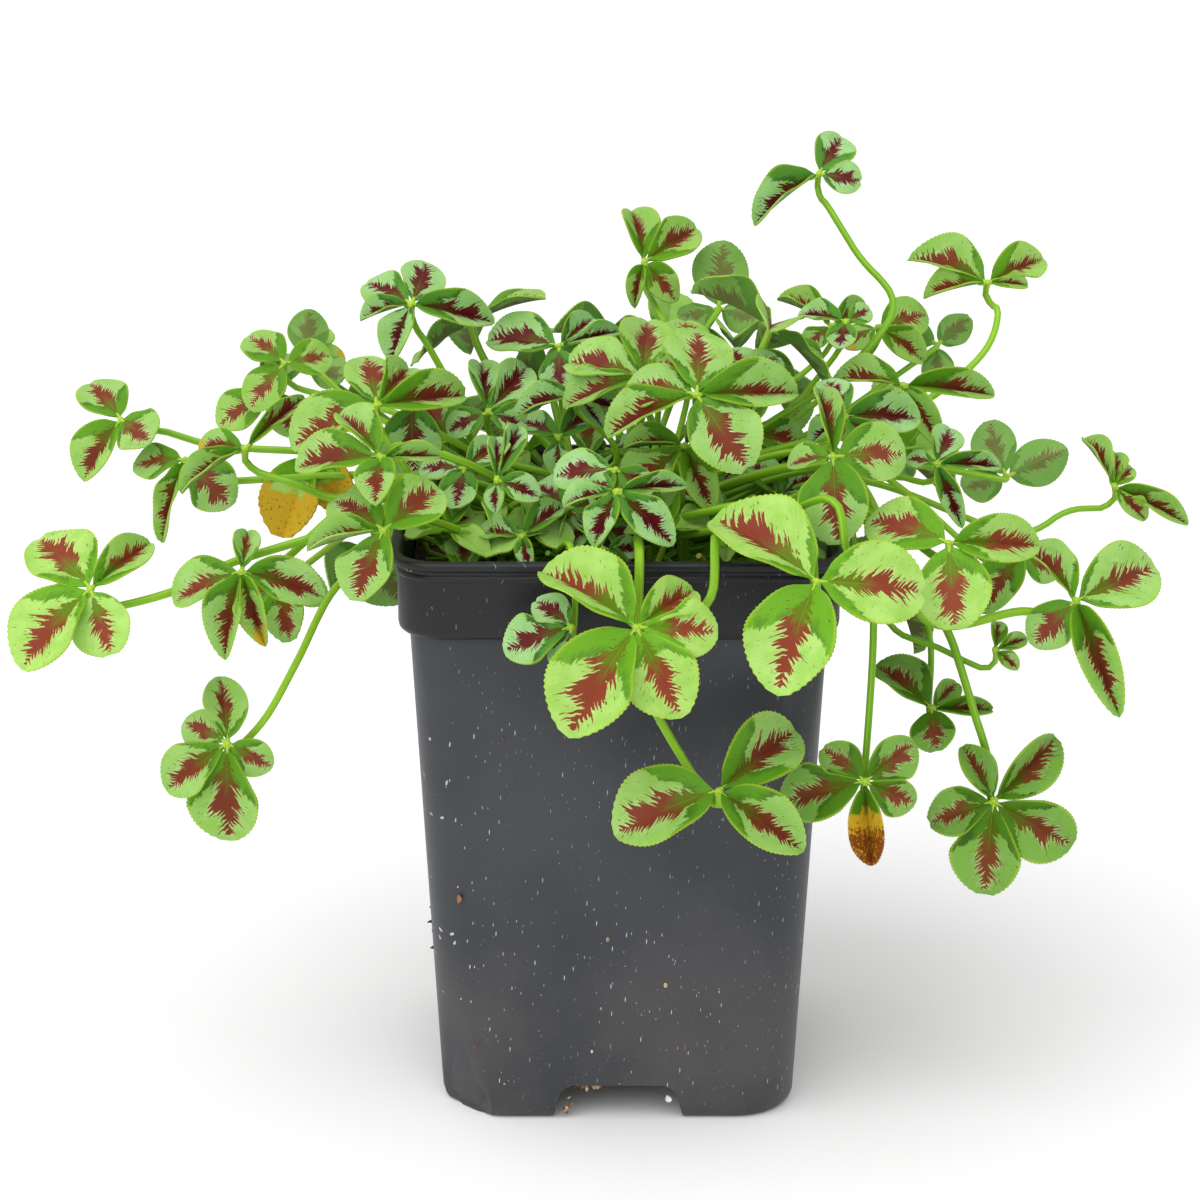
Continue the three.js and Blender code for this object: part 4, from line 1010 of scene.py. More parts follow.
def leaf_material(name, marks, underside=False):
    """The leaf's surface. Its tones come from the piece's own attributes: look holds mint, age,
    crimson and a draw, state holds marks, edge and yellow."""
    material, w, shader, output = new_material(name)
    uv, parts, (mint, age, crimson), draw = grown_inputs(w)
    states = w.channels(w.node("VertexColor", layer_name="state").outputs["Color"])
    marked, edge, yellow = states["Red"], states["Green"], states["Blue"]
    along = parts["X"]
    away = w.math("ABSOLUTE", w.less(parts["Y"], 0.5))
    base = w.add(0.04, w.times(draw, 0.3))
    size = w.add(0.8, w.times(w.math("FRACT", w.times(draw, 7.0)), 0.5))
    given = {"UV": uv, "Draw": draw, "Base": base, "Size": size}
    mark = w.node("Group", given, node_tree=marks).outputs
    place = w.own_place()
    broad = w.noise(place, scale=260.0)
    fine = w.noise(place, scale=1500.0, detail=3.0)

    pale = w.mix(mint, srgb(196, 236, 124), srgb(180, 226, 160))
    pale = w.mix(age, pale, srgb(138, 184, 88))
    pale = w.mix(w.fade(broad, 0.3, 0.7), pale, w.mix(0.38, pale, srgb(140, 206, 44)))
    green = w.mix(mint, srgb(116, 184, 20), srgb(82, 150, 40))
    green = w.mix(age, green, srgb(82, 136, 14))
    colour = w.mix(w.times(mark["Base"], 0.92), pale, green)
    colour = w.mix(w.times(mark["Feather"], w.add(0.35, w.times(mint, 0.4))), colour, srgb(52, 78, 44))
    red = w.mix(crimson, srgb(170, 78, 52), srgb(108, 22, 34))
    red = w.mix(w.times(age, 0.6), red, srgb(124, 74, 36))
    red = w.mix(w.times(fine, 0.5), red, w.mix(0.4, red, srgb(84, 30, 24)))
    vein = w.less(along, w.times(away, 0.85))
    streaks = w.noise(w.point(w.times(vein, 9.0), w.times(away, 40.0), draw), detail=3.0)
    ripe = w.add(w.add(along, w.times(away, 0.9)), w.times(w.less(streaks, 0.5), 0.35))
    fresh = w.fade(ripe, 0.3, 0.56, w.times(crimson, 0.75), 1.0)
    olive = w.mix(0.45, green, srgb(112, 88, 26))
    red = w.mix(fresh, olive, red)
    slivers = w.mix(mint, srgb(226, 246, 160), srgb(232, 244, 214))
    colour = w.mix(w.times(mark["Slivers"], w.times(marked, 0.6)), colour, slivers)
    specks = w.times(mark["Specks"], w.times(marked, 0.85))
    colour = w.mix(specks, colour, w.mix(crimson, srgb(122, 70, 38), srgb(52, 40, 34)))
    colour = w.mix(w.times(mark["Blotch"], marked), colour, red)
    colour = w.mix(w.times(w.fade(edge, 0.9, 1.0), 0.55), colour, srgb(190, 218, 66))
    rib = w.fade(away, 0.002, 0.009, 0.3, 0.0)
    colour = w.mix(w.times(rib, w.fade(along, 0.25, 0.6, 1.0, 0.1)), colour, srgb(150, 200, 90))
    patches = w.times(w.fade(broad, 0.35, 0.65), 0.07)
    vein_shade = w.times(w.add(0.5, w.times(mark["Veins"], 0.5)), patches)
    colour = w.mix(vein_shade, colour, srgb(60, 110, 40))
    spoiled = w.noise(place, scale=420.0, detail=3.0)
    sick = w.fade(w.add(yellow, w.times(w.less(spoiled, 0.5), 0.7)), 0.45, 0.6)
    sick = w.times(sick, w.fade(yellow, 0.02, 0.1))
    burnt = w.fade(w.add(yellow, w.less(fine, 0.5)), 0.75, 0.95)
    sick_colour = w.mix(burnt, srgb(226, 184, 48), srgb(150, 78, 30))
    colour = w.mix(sick, colour, sick_colour)
    if underside:
        colour = w.mix(0.55, colour, srgb(122, 170, 92))
    height = w.add(w.times(mark["Veins"], 0.12), w.times(fine, 0.8))
    w.finish(shader, colour, 0.62 if underside else 0.47, 0.16, (height, 0.25, 0.00025))
    glow = w.mix(1.0, colour, srgb(214, 244, 120), blend="MULTIPLY")
    through = w.node("BsdfTranslucent", {"Color": glow})
    surface = w.node("MixShader", {0: 0.3, 1: shader.outputs[0], 2: through.outputs[0]})
    w.join(surface.outputs[0], output.inputs["Surface"])
    return material


def petiole_material():
    """Smooth green stalk, paler along its ribs, yellower near the leaf, darkened with painted shade
    where it lies low in the pot.
    """
    material, w, shader, _ = new_material("clover_stalk")
    _, parts, (pale, low, red), draw = grown_inputs(w)
    mottle = w.noise(w.own_place(), scale=700.0, detail=3.0)
    round_place = w.times(parts["Y"], 6.2832)
    ribs = w.fade(w.math("SINE", w.times(round_place, 4.0)), 0.3, 1.0)
    colour = w.mix(draw, srgb(148, 200, 36), srgb(116, 172, 28))
    # Painted shade: the look's second tone darkens the stalk where it lies low in the pot under the
    # leaves.
    colour = w.mix(w.times(low, 0.85), colour, srgb(52, 108, 10))
    colour = w.mix(w.times(ribs, 0.3), colour, srgb(190, 226, 84))
    colour = w.mix(w.times(mottle, 0.22), colour, srgb(80, 130, 10))
    colour = w.mix(w.times(red, w.fade(mottle, 0.35, 0.6)), colour, srgb(150, 120, 52))
    colour = w.mix(pale, colour, srgb(190, 208, 74))
    w.finish(shader, colour, 0.42, 0.25, (w.add(w.times(ribs, 0.6), mottle), 0.2, 0.0002))
    return material


# How each kind of leaf looks: mint, age, crimson and marks.
LOOKS = dict(
    lime=(0.0, 0.05, 0.05, 1.0),
    mid=(0.3, 0.35, 0.35, 1.0),
    mint=(0.9, 0.05, 0.95, 1.0),
    old=(0.45, 0.95, 0.1, 1.0),
    back=(0.1, 0.45, 0.35, 1.0),
    plain=(0.0, 0.1, 0.0, 0.0),
)

BLADE_THIN = 0.34
TIP_NOTCH = 0.05
WAVE = 0.45
PETIOLE_SIDES = 3
KNOB_RADIUS = 0.72
KNOB_PALE = 0.4
PULVINUS_RADIUS = 0.5
PULVINUS_RADII = (PULVINUS_RADIUS, PULVINUS_RADIUS, 0.42, 0.24)
PULVINUS_SHARES = (0.2, 0.5, 0.8, 1.0)
PULVINUS_MOST = 2.4
PULVINUS_SHARE = 0.16
PULVINUS_DROP = 0.12
# A petiole is this much thinner than its solid, by the length of its leaflets
SLIM_LENGTHS = (10, 19)
SLIM_SHARES = (0.66, 0.92)
PALE_END = 5.0
SHADE_TOP = POT_HEIGHT + 9
SHADE_DEPTH = 16.0
SHADE_HALF = 46.0
JITTER = 0.3


def leaf_look(leaf):
    """The kind of leaf, from where it is seen."""
    if "look" in leaf:
        return leaf["look"]
    across, up, toward = leaf["at"]
    if up < -20:
        return "old" if across > 40 else "mid"
    if toward < -5:
        return "back"
    size = np.mean([leaflet["length"] for leaflet in leaf["leaflets"]])
    if toward > 40 and size > 15:
        return "lime"
    return "mint" if size < 13.5 and -60 < across < 70 else "mid"


def bent_leaflet(blank, leaf, leaflet, draw):
    """The blank's points where they lie on this leaflet."""
    s, y = blank[:, 0], blank[:, 1]
    length, fold, width = leaflet["length"], leaflet["fold"], leaflet["width"]
    full = np.maximum(margin(np.clip(s, 0.001, 0.999)), 0.02)
    t = np.clip(np.abs(y) / full, 0, 1)
    reach, drop = arched(length, s)
    half = 0.5 * width * np.abs(y)
    for sign, room in ((1, leaflet["room_after"]), (-1, leaflet["room_before"])):
        if room <= CROWD_ANGLE:
            limit = np.maximum(BASE_LEAST, reach * math.tan(room / 2) - BASE_CLEARANCE) / math.cos(fold)
            share = np.minimum(1, limit / np.maximum(0.5 * width * full, 0.01)) ** 0.55
            late = np.clip((s - BASE_STATION) / 0.25, 0, 1)
            share = share + (1 - share) * late * late * (3 - 2 * late)
            half = np.where(y * sign > 0, half * share, half)
    lean, broad = draw() - 0.5, draw() - 0.5
    half = half * (1 + 0.3 * broad * (s - 0.5)) * (1 + 0.12 * lean * np.sign(y))
    notch = TIP_NOTCH * max(0, 1.8 * draw() - 0.8)
    late = np.clip((s - 0.82) / 0.18, 0, 1)
    reach = reach - notch * length * late**2 * np.exp(-((t / 0.45) ** 2))
    wave = WAVE * (0.5 + draw()) * t**2
    wave = wave * np.sin(2 * math.pi * ((1.2 + draw()) * s + draw() + 0.3 * np.sign(y)))
    wave = wave * min(1, length / 18) * np.clip(s * 4, 0, 1)
    bow = 0.05 * (draw() - 0.5) * length * s * s
    soft = 1 - 0.12 * t * t
    sideways = np.sign(y) * half * math.cos(fold) + bow
    lift = half * math.sin(fold) * soft - drop + wave
    place = leaf["head"] + np.outer(reach, leaflet["along"])
    place += np.outer(sideways, leaflet["side"]) + np.outer(lift, leaflet["normal"])
    return place, t, half / length


def make_leaflet_piece(blank, leaf, leaflet, draw, top, underside):
    """One leaflet as its own mesh."""
    piece = copy_of(blank)
    flat = coordinates(blank)
    place, edge, away = bent_leaflet(flat, leaf, leaflet, draw)
    set_coordinates(piece, place * MM)
    corners = np.empty(len(piece.data.loops), int)
    piece.data.loops.foreach_get("vertex_index", corners)
    uv = np.column_stack([flat[:, 0], 0.5 + np.sign(flat[:, 1]) * away])
    piece.data.uv_layers[0].data.foreach_set("uv", uv[corners].ravel())
    mint, age, crimson, marks = LOOKS[leaf_look(leaf)]
    jitter = [JITTER * (draw() - 0.5) for _ in range(3)]
    tones = np.clip(np.array([mint, age, crimson]) + jitter, 0, 1)
    set_attribute(piece, "look", (*tones, draw()))
    spoil = leaf.get("spoiled", {}).get(leaflet.get("seen"), leaf.get("yellow", 0))
    spoil = spoil * np.clip(flat[:, 0] * 1.6 - 0.4 * (spoil < 0.7), 0, 1)
    full = np.full_like(edge, marks)
    set_attribute(piece, "state", np.column_stack([full, edge, spoil, np.ones_like(edge)]))
    piece.data.materials.append(top)
    piece.data.materials.append(underside)
    return piece


def make_stalk(places, radii, look, stalk, sides=PETIOLE_SIDES):
    """A stalk along places, as its own mesh with closed ends."""
    curve = bpy.data.curves.new("stalk", "CURVE")
    curve.dimensions = "3D"
    spline = curve.splines.new("POLY")
    spline.points.add(len(places) - 1)
    for point, place, radius in zip(spline.points, places, radii):
        point.co = (*(place * MM), 1)
        point.radius = radius
    curve.bevel_depth = MM
    curve.bevel_resolution = sides
    curve.use_fill_caps = True
    piece = bpy.data.objects.new("stalk", curve)
    bpy.context.collection.objects.link(piece)
    pick(piece)
    bpy.ops.object.convert(target="MESH")
    piece = bpy.context.object
    set_attribute(piece, "look", look)
    set_attribute(piece, "state", (0, 0, 0, 1))
    piece.data.materials.clear()
    piece.data.materials.append(stalk)
    return piece


def make_knob(leaf, stalk, draw):
    """The joint where the leaflets meet, with a short stalk to each."""
    place = leaf["head"] * MM
    knob = add_primitive("ico_sphere", subdivisions=2, radius=KNOB_RADIUS * MM, location=place)
    bake_placing(knob)
    look = (KNOB_PALE, 0, 0, draw())
    set_attribute(knob, "look", look)
    set_attribute(knob, "state", (0, 0, 0, 1))
    knob.data.materials.append(stalk)
    pieces = [knob]
    for leaflet in leaf["leaflets"]:
        reach = min(PULVINUS_MOST, PULVINUS_SHARE * leaflet["length"])
        line = [leaf["head"] + leaflet["along"] * (reach * share) for share in PULVINUS_SHARES]
        line = [place - leaflet["normal"] * PULVINUS_DROP for place in line]
        pieces.append(make_stalk(line, PULVINUS_RADII, look, stalk, sides=2))
    return pieces


def make_petiole(leaf, stalk, draw):
    """A leaf's long stalk, pale at the leaf and darkened with painted shade between the stems in the
    pot.
    """
    line = smooth_path(leaf["path"], step=FINE_STEP)
    share = np.linspace(0, 1, len(line))
    radii = PETIOLE_ROOT_RADIUS + (PETIOLE_TIP_RADIUS - PETIOLE_ROOT_RADIUS) * share
    size = np.mean([leaflet["length"] for leaflet in leaf["leaflets"]])
    radii = radii * np.interp(size, SLIM_LENGTHS, SLIM_SHARES)
    piece = make_stalk(line, radii, (0, 0, 0, draw()), stalk)
    places = coordinates(piece) / MM
    near = np.linalg.norm(places - leaf["head"], axis=1)
    look = np.zeros((len(near), 4))
    look[:, 0] = KNOB_PALE * np.clip(1 - near / PALE_END, 0, 1)
    # Painted shade: the second tone grows with depth below the rim inside the pot, where the leaves
    # above shade the petiole.
    inside = square_reach(places) < SHADE_HALF
    look[:, 1] = np.clip((SHADE_TOP - places[:, 2]) / SHADE_DEPTH, 0, 1) * inside
    look[:, 3] = draw()
    piece.data.color_attributes["look"].data.foreach_set("color", look.ravel())
    return piece


def join_growth(leaflets, stalks, name):
    """Thickens leaflets and joins them and their stalks into one piece."""
    blades = join_pieces(leaflets, name + "_blades")
    apply_modifier(blades, "SOLIDIFY", thickness=BLADE_THIN * MM, offset=0, material_offset=1)
    piece = join_pieces([*stalks, blades], name)
    smooth_below(piece, 50)
    return piece


def make_leafy_stem(stem, name, blank, materials, draw):
    """A short stem with its leaves: petioles, knobs and leaflets as one piece."""
    top, underside, stalk = materials
    leaflets, stalks = [], []
    for leaf in stem["leaves"]:
        for leaflet in leaf["leaflets"]:
            leaflets.append(make_leaflet_piece(blank, leaf, leaflet, draw, top, underside))
        stalks.append(make_petiole(leaf, stalk, draw))
        stalks += make_knob(leaf, stalk, draw)
    crown = FIRST_LEAF_HEIGHT + LEAF_SPACING * (len(stem["leaves"]) - 1) + STEM_RADIUS
    heights = np.array([STEM_FOOT, SOIL_TOP, crown - 1.5, crown - 0.5, crown])
    line = [np.array([*stem["foot"][:2], height]) for height in heights]
    radii = [STEM_RADIUS, STEM_RADIUS, STEM_RADIUS, 0.85 * STEM_RADIUS, 0.4 * STEM_RADIUS]
    # The stem's second tone, 0.8, darkens it with painted shade under the leaves.
    stalks.append(make_stalk(line, radii, (0.1, 0.8, 0, draw()), stalk))
    return join_growth(leaflets, stalks, name)


# Small low leaves among the stems at the rim, seen between the others. Made as the front leaves are.
LOW_LEAVES = (
    dict(
        at=(-26, 13.5, 35),
        leaflets=((18, 12, 7), (150, 9, 6), (100, 8, 5)),
        face=(0, 0.75),
        look="plain",
    ),
    dict(
        at=(-19, 15, 34),
        leaflets=((200, 10, 6), (350, 9, 6), (80, 8, 6)),
        face=(0, 0.75),
        look="plain",
    ),
    dict(
        at=(-36, 15, 33),
        leaflets=((175, 9, 6), (80, 8, 6), (330, 9, 5)),
        face=(0, 0.75),
        look="plain",
    ),
    dict(at=(-39, 17, 26), leaflets=((190, 9, 6), (60, 8, 6), (310, 9, 6)), face=(0, 0.6), look="mid"),
    dict(
        at=(11, 15, 34),
        leaflets=((170, 9, 6), (20, 9, 6), (100, 9, 5)),
        face=(0, 0.75),
        look="plain",
    ),
    dict(at=(-72, 4, 10), leaflets=((200, 10, 8), (280, 12, 9), (340, 10, 7)), look="mid"),
    dict(at=(-12.7, 34.8, 12), leaflets=((150, 9, 6), (40, 9, 6), (270, 8, 5)), look="mint"),
    dict(at=(34, 22, 18), leaflets=((120, 10, 7), (30, 10, 7), (230, 9, 6)), look="mint"),
    dict(at=(-65, 31, -2), leaflets=((248, 18, 13), (300, 14, 9)), look="plain", yellow=0.7),
    dict(at=(-66, 50, -34), leaflets=((84, 11, 10), (20, 8, 7)), look="plain", yellow=0.5),
    dict(at=(60, 30, -16), leaflets=((90, 19, 13), (20, 14, 9), (160, 12, 8)), look="plain"),
    dict(at=(10, 55, -34), leaflets=((80, 13, 11), (170, 11, 9), (0, 11, 9)), look="plain"),
    dict(at=(-36, 34, -8), leaflets=((200, 13, 10), (120, 12, 9), (320, 12, 8)), look="mid"),
    dict(at=(-6, 30, -6), leaflets=((210, 12, 9), (100, 12, 9), (330, 12, 8)), look="mid"),
    dict(at=(28, 36, -4), leaflets=((240, 12, 9), (100, 12, 9), (350, 12, 8)), look="mid"),
    dict(at=(-4, 16, 30), leaflets=((200, 9, 6), (340, 9, 6), (90, 8, 5)), look="mint"),
    dict(at=(-38, 21, 26), leaflets=((210, 9, 6), (320, 9, 6), (90, 8, 5)), look="mid"),
)
LOW_STEMS = 130
LOW_SPRIGS = 16
LOW_SEED = 33
LOW_FOOT = SOIL_TOP - 1
LOW_POINTS = 14
LOW_CROSSING = 44.0
LOW_LEAF_RADIUS = 0.7
SPRIG_TRIES = 14
SPRIG_LENGTHS = (7.0, 4.5)
SPRIG_WIDTHS = (0.5, 0.25)
SPRIG_WHOLE = 6.27
SPRIG_ROOM = 6.0


def low_line(foot, end, draw):
    """A thin stem's points, from the soil up and out, over the rim where it leaves the pot."""
    share = 0.35 + 0.2 * draw()
    middle = foot + (end - foot) * share
    middle[2] = foot[2] + 3 + 4 * draw()
    points = [foot, middle, end]
    if square_reach(end) > COLLAR_HALF - WALL - 1:
        inner, outer = square_reach(middle), square_reach(end)
        crossing = middle + (end - middle) * (LOW_CROSSING - inner) / (outer - inner)
        crossing[2] = max(crossing[2], POT_HEIGHT + 1.2 + 2 * draw())
        points.insert(2, crossing)
    return smooth_path(points, count=LOW_POINTS)


def free_place(taken, draw):
    """Of a few places over the soil, the one that is furthest from all that is there."""
    tries = []
    for _ in range(SPRIG_TRIES):
        place = np.array([(draw() - 0.5) * 74, -34 + 70 * draw() ** 1.3, 119 + 14 * draw()])
        tries.append((np.linalg.norm(taken - place, axis=1).min(), place))
    return max(tries, key=lambda pair: pair[0])[1]


def make_low_growth(stems, blank, materials, draw):
    """The mat of thin runners and small leaves that fills the top of the pot."""
    top, underside, stalk = materials
    taken = np.vstack([leaf["path"] for stem in stems for leaf in stem["leaves"]])
    leaves = [front_leaf(row) for row in LOW_LEAVES]
    for _ in range(LOW_SPRIGS):
        head = free_place(taken, draw)
        facing = unit(np.array([head[0] / 90, head[1] / 90 - 0.35, 0.6 + 0.4 * draw()]))
        first = unit(np.cross(facing, (0.2, 1, 0.1)))
        start = 6.28 * draw()
        leaflets = leaflet_ring(facing, first, start, SPRIG_WHOLE, 3, SPRIG_LENGTHS, SPRIG_WIDTHS, draw)
        look = "plain" if draw() < 0.2 else "mint" if draw() < 0.6 else "mid"
        leaves.append(dict(head=head, facing=facing, leaflets=leaflets, look=look))
        ends = head + [leaflet["along"] * SPRIG_ROOM for leaflet in leaflets]
        taken = np.vstack([taken, ends, head])
    leaflets, stalks = [], []
    for leaf in leaves:
        order_leaflets(leaf)
        for leaflet in leaf["leaflets"]:
            leaflets.append(make_leaflet_piece(blank, leaf, leaflet, draw, top, underside))
        stalks += make_knob(leaf, stalk, draw)
        turn = math.atan2(leaf["head"][1], leaf["head"][0]) + 0.5 * (draw() - 0.5)
        foot = level(turn) * (8 + 22 * draw())
        foot[2] = LOW_FOOT
        line = low_line(foot, leaf["head"] - leaf["facing"] * 0.5, draw)
        radii = [LOW_LEAF_RADIUS] * len(line)
        # The runner's second tone, 0.6, darkens it with painted shade under the leaves.
        stalks.append(make_stalk(line, radii, (0.1, 0.6, 0.2 * draw(), draw()), stalk))
    for _ in range(LOW_STEMS):
        turn = 2 * math.pi * draw()
        foot = level(turn) * (3 + 30 * draw())
        foot[2] = LOW_FOOT
        away = turn + 1.3 * (draw() - 0.5)
        end = level(away)
        end *= (24 + 17 * draw()) / square_reach(end)
        end[2] = 117 + 9 * draw()
        line = low_line(foot, end, draw)
        thick = 0.45 + 0.55 * draw()
        radii = thick * (1 - 0.35 * np.linspace(0, 1, len(line)))
        straw = 0.9 * (draw() < 0.12)
        # The second tone darkens each runner with painted shade under the leaves, by a drawn amount.
        look = (0.1 * draw(), 0.45 + 0.55 * draw(), straw, draw())
        stalks.append(make_stalk(line, radii, look, stalk, sides=1))
    return join_growth(leaflets, stalks, "low_growth")


BODY_TOP = POT_HEIGHT - COLLAR_HEIGHT
BODY_RINGS = 13
CORNER_SEGMENTS = 8
CHANNEL_ROUND = 3.0
BAR_BELOW = 5.0
DRAIN_DEPTH = 30.0

# The large low faces at the front left, cut finer before the corner is knocked in
DENT_FACE_AREA = 150.0
DENT_FACE_HEIGHT = 38.0
DENT_FACE_EDGE = -30.0
DENT_CUTS = 7


def add_ring(half, corner, height):
    """Adds a level square ring with round corners to the mesh in edit mode."""
    bpy.ops.mesh.select_all(action="DESELECT")
    bpy.ops.mesh.primitive_plane_add(size=2 * half * MM, location=(0, 0, height * MM))
    bpy.ops.mesh.bevel(affect="VERTICES", offset=corner * MM, segments=CORNER_SEGMENTS)
    bpy.ops.mesh.delete(type="ONLY_FACE")


def square_loft(name, rings):
    """A closed solid through square rings, each given by its half width, corner radius and height."""
    piece = add_primitive("plane", size=1)
    piece.name = name
    set_mode("EDIT")
    bpy.ops.mesh.select_all(action="SELECT")
    bpy.ops.mesh.delete(type="VERT")
    for ring in rings:
        add_ring(*ring)
    around = 4 * (CORNER_SEGMENTS + 1)
    bpy.ops.mesh.select_mode(type="VERT")
    for first in range(len(rings) - 1):
        mesh = bmesh.from_edit_mesh(piece.data)
        mesh.verts.ensure_lookup_table()
        for vertex in mesh.verts:
            vertex.select = first * around <= vertex.index < (first + 2) * around
        mesh.select_flush(True)
        for face in mesh.faces:
            face.select = False
        for edge in mesh.edges:
            rows = {vertex.index // around for vertex in edge.verts}
            edge.select = len(rows) == 1 and rows <= {first, first + 1}
        bpy.ops.mesh.bridge_edge_loops()
    for row in (0, len(rings) - 1):
        mesh = bmesh.from_edit_mesh(piece.data)
        mesh.verts.ensure_lookup_table()
        for element in (*mesh.faces, *mesh.edges, *mesh.verts):
            element.select = False
        for edge in mesh.edges:
            edge.select = all(vertex.index // around == row for vertex in edge.verts)
        bpy.ops.mesh.edge_face_add()
    bpy.ops.mesh.select_all(action="SELECT")
    bpy.ops.mesh.normals_make_consistent(inside=False)
    set_mode("OBJECT")
    return piece


def cut_with(piece, cutters, operation="DIFFERENCE"):
    """Cuts a piece with each cutter, which is then gone."""
    for cutter in cutters:
        apply_modifier(piece, "BOOLEAN", object=cutter, operation=operation, solver="EXACT")
    for cutter in cutters:
        bpy.data.objects.remove(cutter)


def channel_bars(grow):
    """The two arched bars that cross under the pot, larger all round by grow."""
    bars = []
    for turn in (0, math.pi / 2):
        bar = add_primitive("cube", size=1)
        foot = CHANNEL_FOOT_WIDTH + 2 * grow
        height = CHANNEL_HEIGHT + grow + BAR_BELOW
        bar.scale = (foot * MM, 4 * BASE_HALF * MM, height * MM)
        bar.location = (0, 0, (height / 2 - BAR_BELOW) * MM)
        bake_placing(bar)
        set_mode("EDIT")
        mesh = bmesh.from_edit_mesh(bar.data)
        for vertex in mesh.verts:
            vertex.select = vertex.co.z > 0
        mesh.select_flush_mode()
        top = (CHANNEL_TOP_WIDTH + 2 * grow) / foot
        bpy.ops.transform.resize(value=(top, 1, 1), center_override=(0, 0, 0))
        mesh = bmesh.from_edit_mesh(bar.data)
        for edge in mesh.edges:
            one, two = (vertex.co for vertex in edge.verts)
            edge.select = min(one.z, two.z) > 0 and abs(one.x - two.x) < 1e-6
        bpy.ops.mesh.bevel(offset=CHANNEL_ROUND * MM, segments=5, affect="EDGES")
        set_mode("OBJECT")
        bar.rotation_euler = (0, 0, turn)
        bake_placing(bar)
        bars.append(bar)
    return bars


def wall_half(height):
    """Half the width of the pot's body at a height."""
    return BASE_HALF + (BODY_TOP_HALF - BASE_HALF) * (height - BASE_EDGE) / (BODY_TOP - BASE_EDGE)


def body_rings(inset, low, high):
    """Rings up the tapered body, set in from its outside."""
    rings = []
    for height in np.linspace(low, high, BODY_RINGS):
        share = (height - BASE_EDGE) / (BODY_TOP - BASE_EDGE)
        corner = BASE_CORNER + (TOP_CORNER - BASE_CORNER) * share
        rings.append((wall_half(height) - inset, corner - 0.6 * inset, height))
    return rings


# Half width, corner radius and height of the collar and lip, then of the inside above the body.
COLLAR_RINGS = (
    (43.5, 9, BODY_TOP + 0.1),
    (44.3, 9, BODY_TOP + 0.5),
    (44.8, 9, BODY_TOP + 1.2),
    (COLLAR_HALF, 9, BODY_TOP + 2.2),
    (COLLAR_HALF, 9, 121.6),
    (45.25, 9.2, 121.9),
    (45.35, 9.3, 122.3),
    (45.25, 9.2, 122.7),
    (45.0, 9, 123.0),
    (45.05, 9, 123.7),
    (45.6, 9.4, 124.1),
    (46.4, 9.9, 124.4),
    (LIP_HALF, 10, 124.9),
    (LIP_HALF, 10, 125.5),
    (46.3, 9.8, 125.9),
    (45.9, 9.6, POT_HEIGHT),
)
INSIDE_RINGS = (
    (42.6, 8.6, BODY_TOP + 1.6),
    (43.8, 8, BODY_TOP + 3),
    (43.8, 8, 124.6),
    (44.1, 8.2, 125.5),
    (44.7, 8.6, POT_HEIGHT),
    (44.9, 8.6, POT_HEIGHT + 3),
)

# The corner that has been knocked in: it starts this high, and leans in this much per mm below.
DENT_TOP = 21.0
DENT_REACH = 49.0
DENT_LEAN = 0.2
DENT_HOLLOW = 1.3


def inside_loft(name, shrink, rings):
    """The pot's inside, smaller all round by shrink, less the channels under its floor."""
    inset = WALL + shrink
    low = FLOOR + shrink
    body = body_rings(inset, BASE_EDGE + low, BODY_TOP)
    foot = (BASE_HALF - BASE_EDGE - inset + 1, BASE_CORNER - 3, low)
    piece = square_loft(name, [foot, *body, *rings])
    cut_with(piece, channel_bars(inset))
    return piece


def knock_corner(places, inset=0):
    """Pushes in the front left corner at the foot."""
    reach = -(places[:, 0] + places[:, 1]) / math.sqrt(2)
    limit = DENT_REACH - inset - DENT_LEAN * (DENT_TOP - places[:, 2])
    over = np.where(places[:, 2] < DENT_TOP, np.maximum(0, reach - limit), 0)
    inward = over * DENT_HOLLOW / math.sqrt(2)
    return places + np.outer(inward, (1, 1, 0))


def make_pot(material):
    """Thin moulded pot: collar with a turned-out lip, four feet, crossed channels and drain holes."""
    foot = [
        (BASE_HALF - BASE_EDGE, BASE_CORNER - 2, 0),
        (BASE_HALF - 1.2, BASE_CORNER - 1.2, 0.5),
        (BASE_HALF - 0.4, BASE_CORNER - 0.4, 1.4),
    ]
    pot = square_loft("pot_moulded", [*foot, *body_rings(0, BASE_EDGE, BODY_TOP), *COLLAR_RINGS])
    pick(pot)
    set_mode("EDIT")
    mesh = bmesh.from_edit_mesh(pot.data)
    for face in mesh.faces:
        place = face.calc_center_median() / MM
        low = place.z < DENT_FACE_HEIGHT and min(place.x, place.y) < DENT_FACE_EDGE
        face.select = face.calc_area() > DENT_FACE_AREA * MM**2 and low
    bpy.ops.mesh.subdivide(number_cuts=DENT_CUTS)
    set_mode("OBJECT")
    bars = channel_bars(0)
    inside = inside_loft("pot_inside", 0, INSIDE_RINGS)
    drains = []
    for k in range(4):
        turn = k * math.pi / 2
        place = (DRAIN_OFFSET * math.cos(turn) * MM, DRAIN_OFFSET * math.sin(turn) * MM, 5 * MM)
        drain = dict(vertices=28, radius=DRAIN_RADIUS * MM, depth=DRAIN_DEPTH * MM, location=place)
        drains.append(add_primitive("cylinder", **drain))
    cut_with(pot, [*bars, inside, *drains])
    set_coordinates(pot, knock_corner(coordinates(pot) / MM) * MM)
    smooth_below(pot, 32)
    pot.data.materials.append(material)
    return pot


# Fine upright scratches, in four sizes: cell across and upright in mm, half width in cells, shift.
FLECKS = (
    (2.1, 12.0, 0.05, 0.0),
    (3.1, 17.0, 0.036, 41.0),
    (2.5, 7.0, 0.03, 83.0),
    (1.6, 8.0, 0.045, 127.0),
)


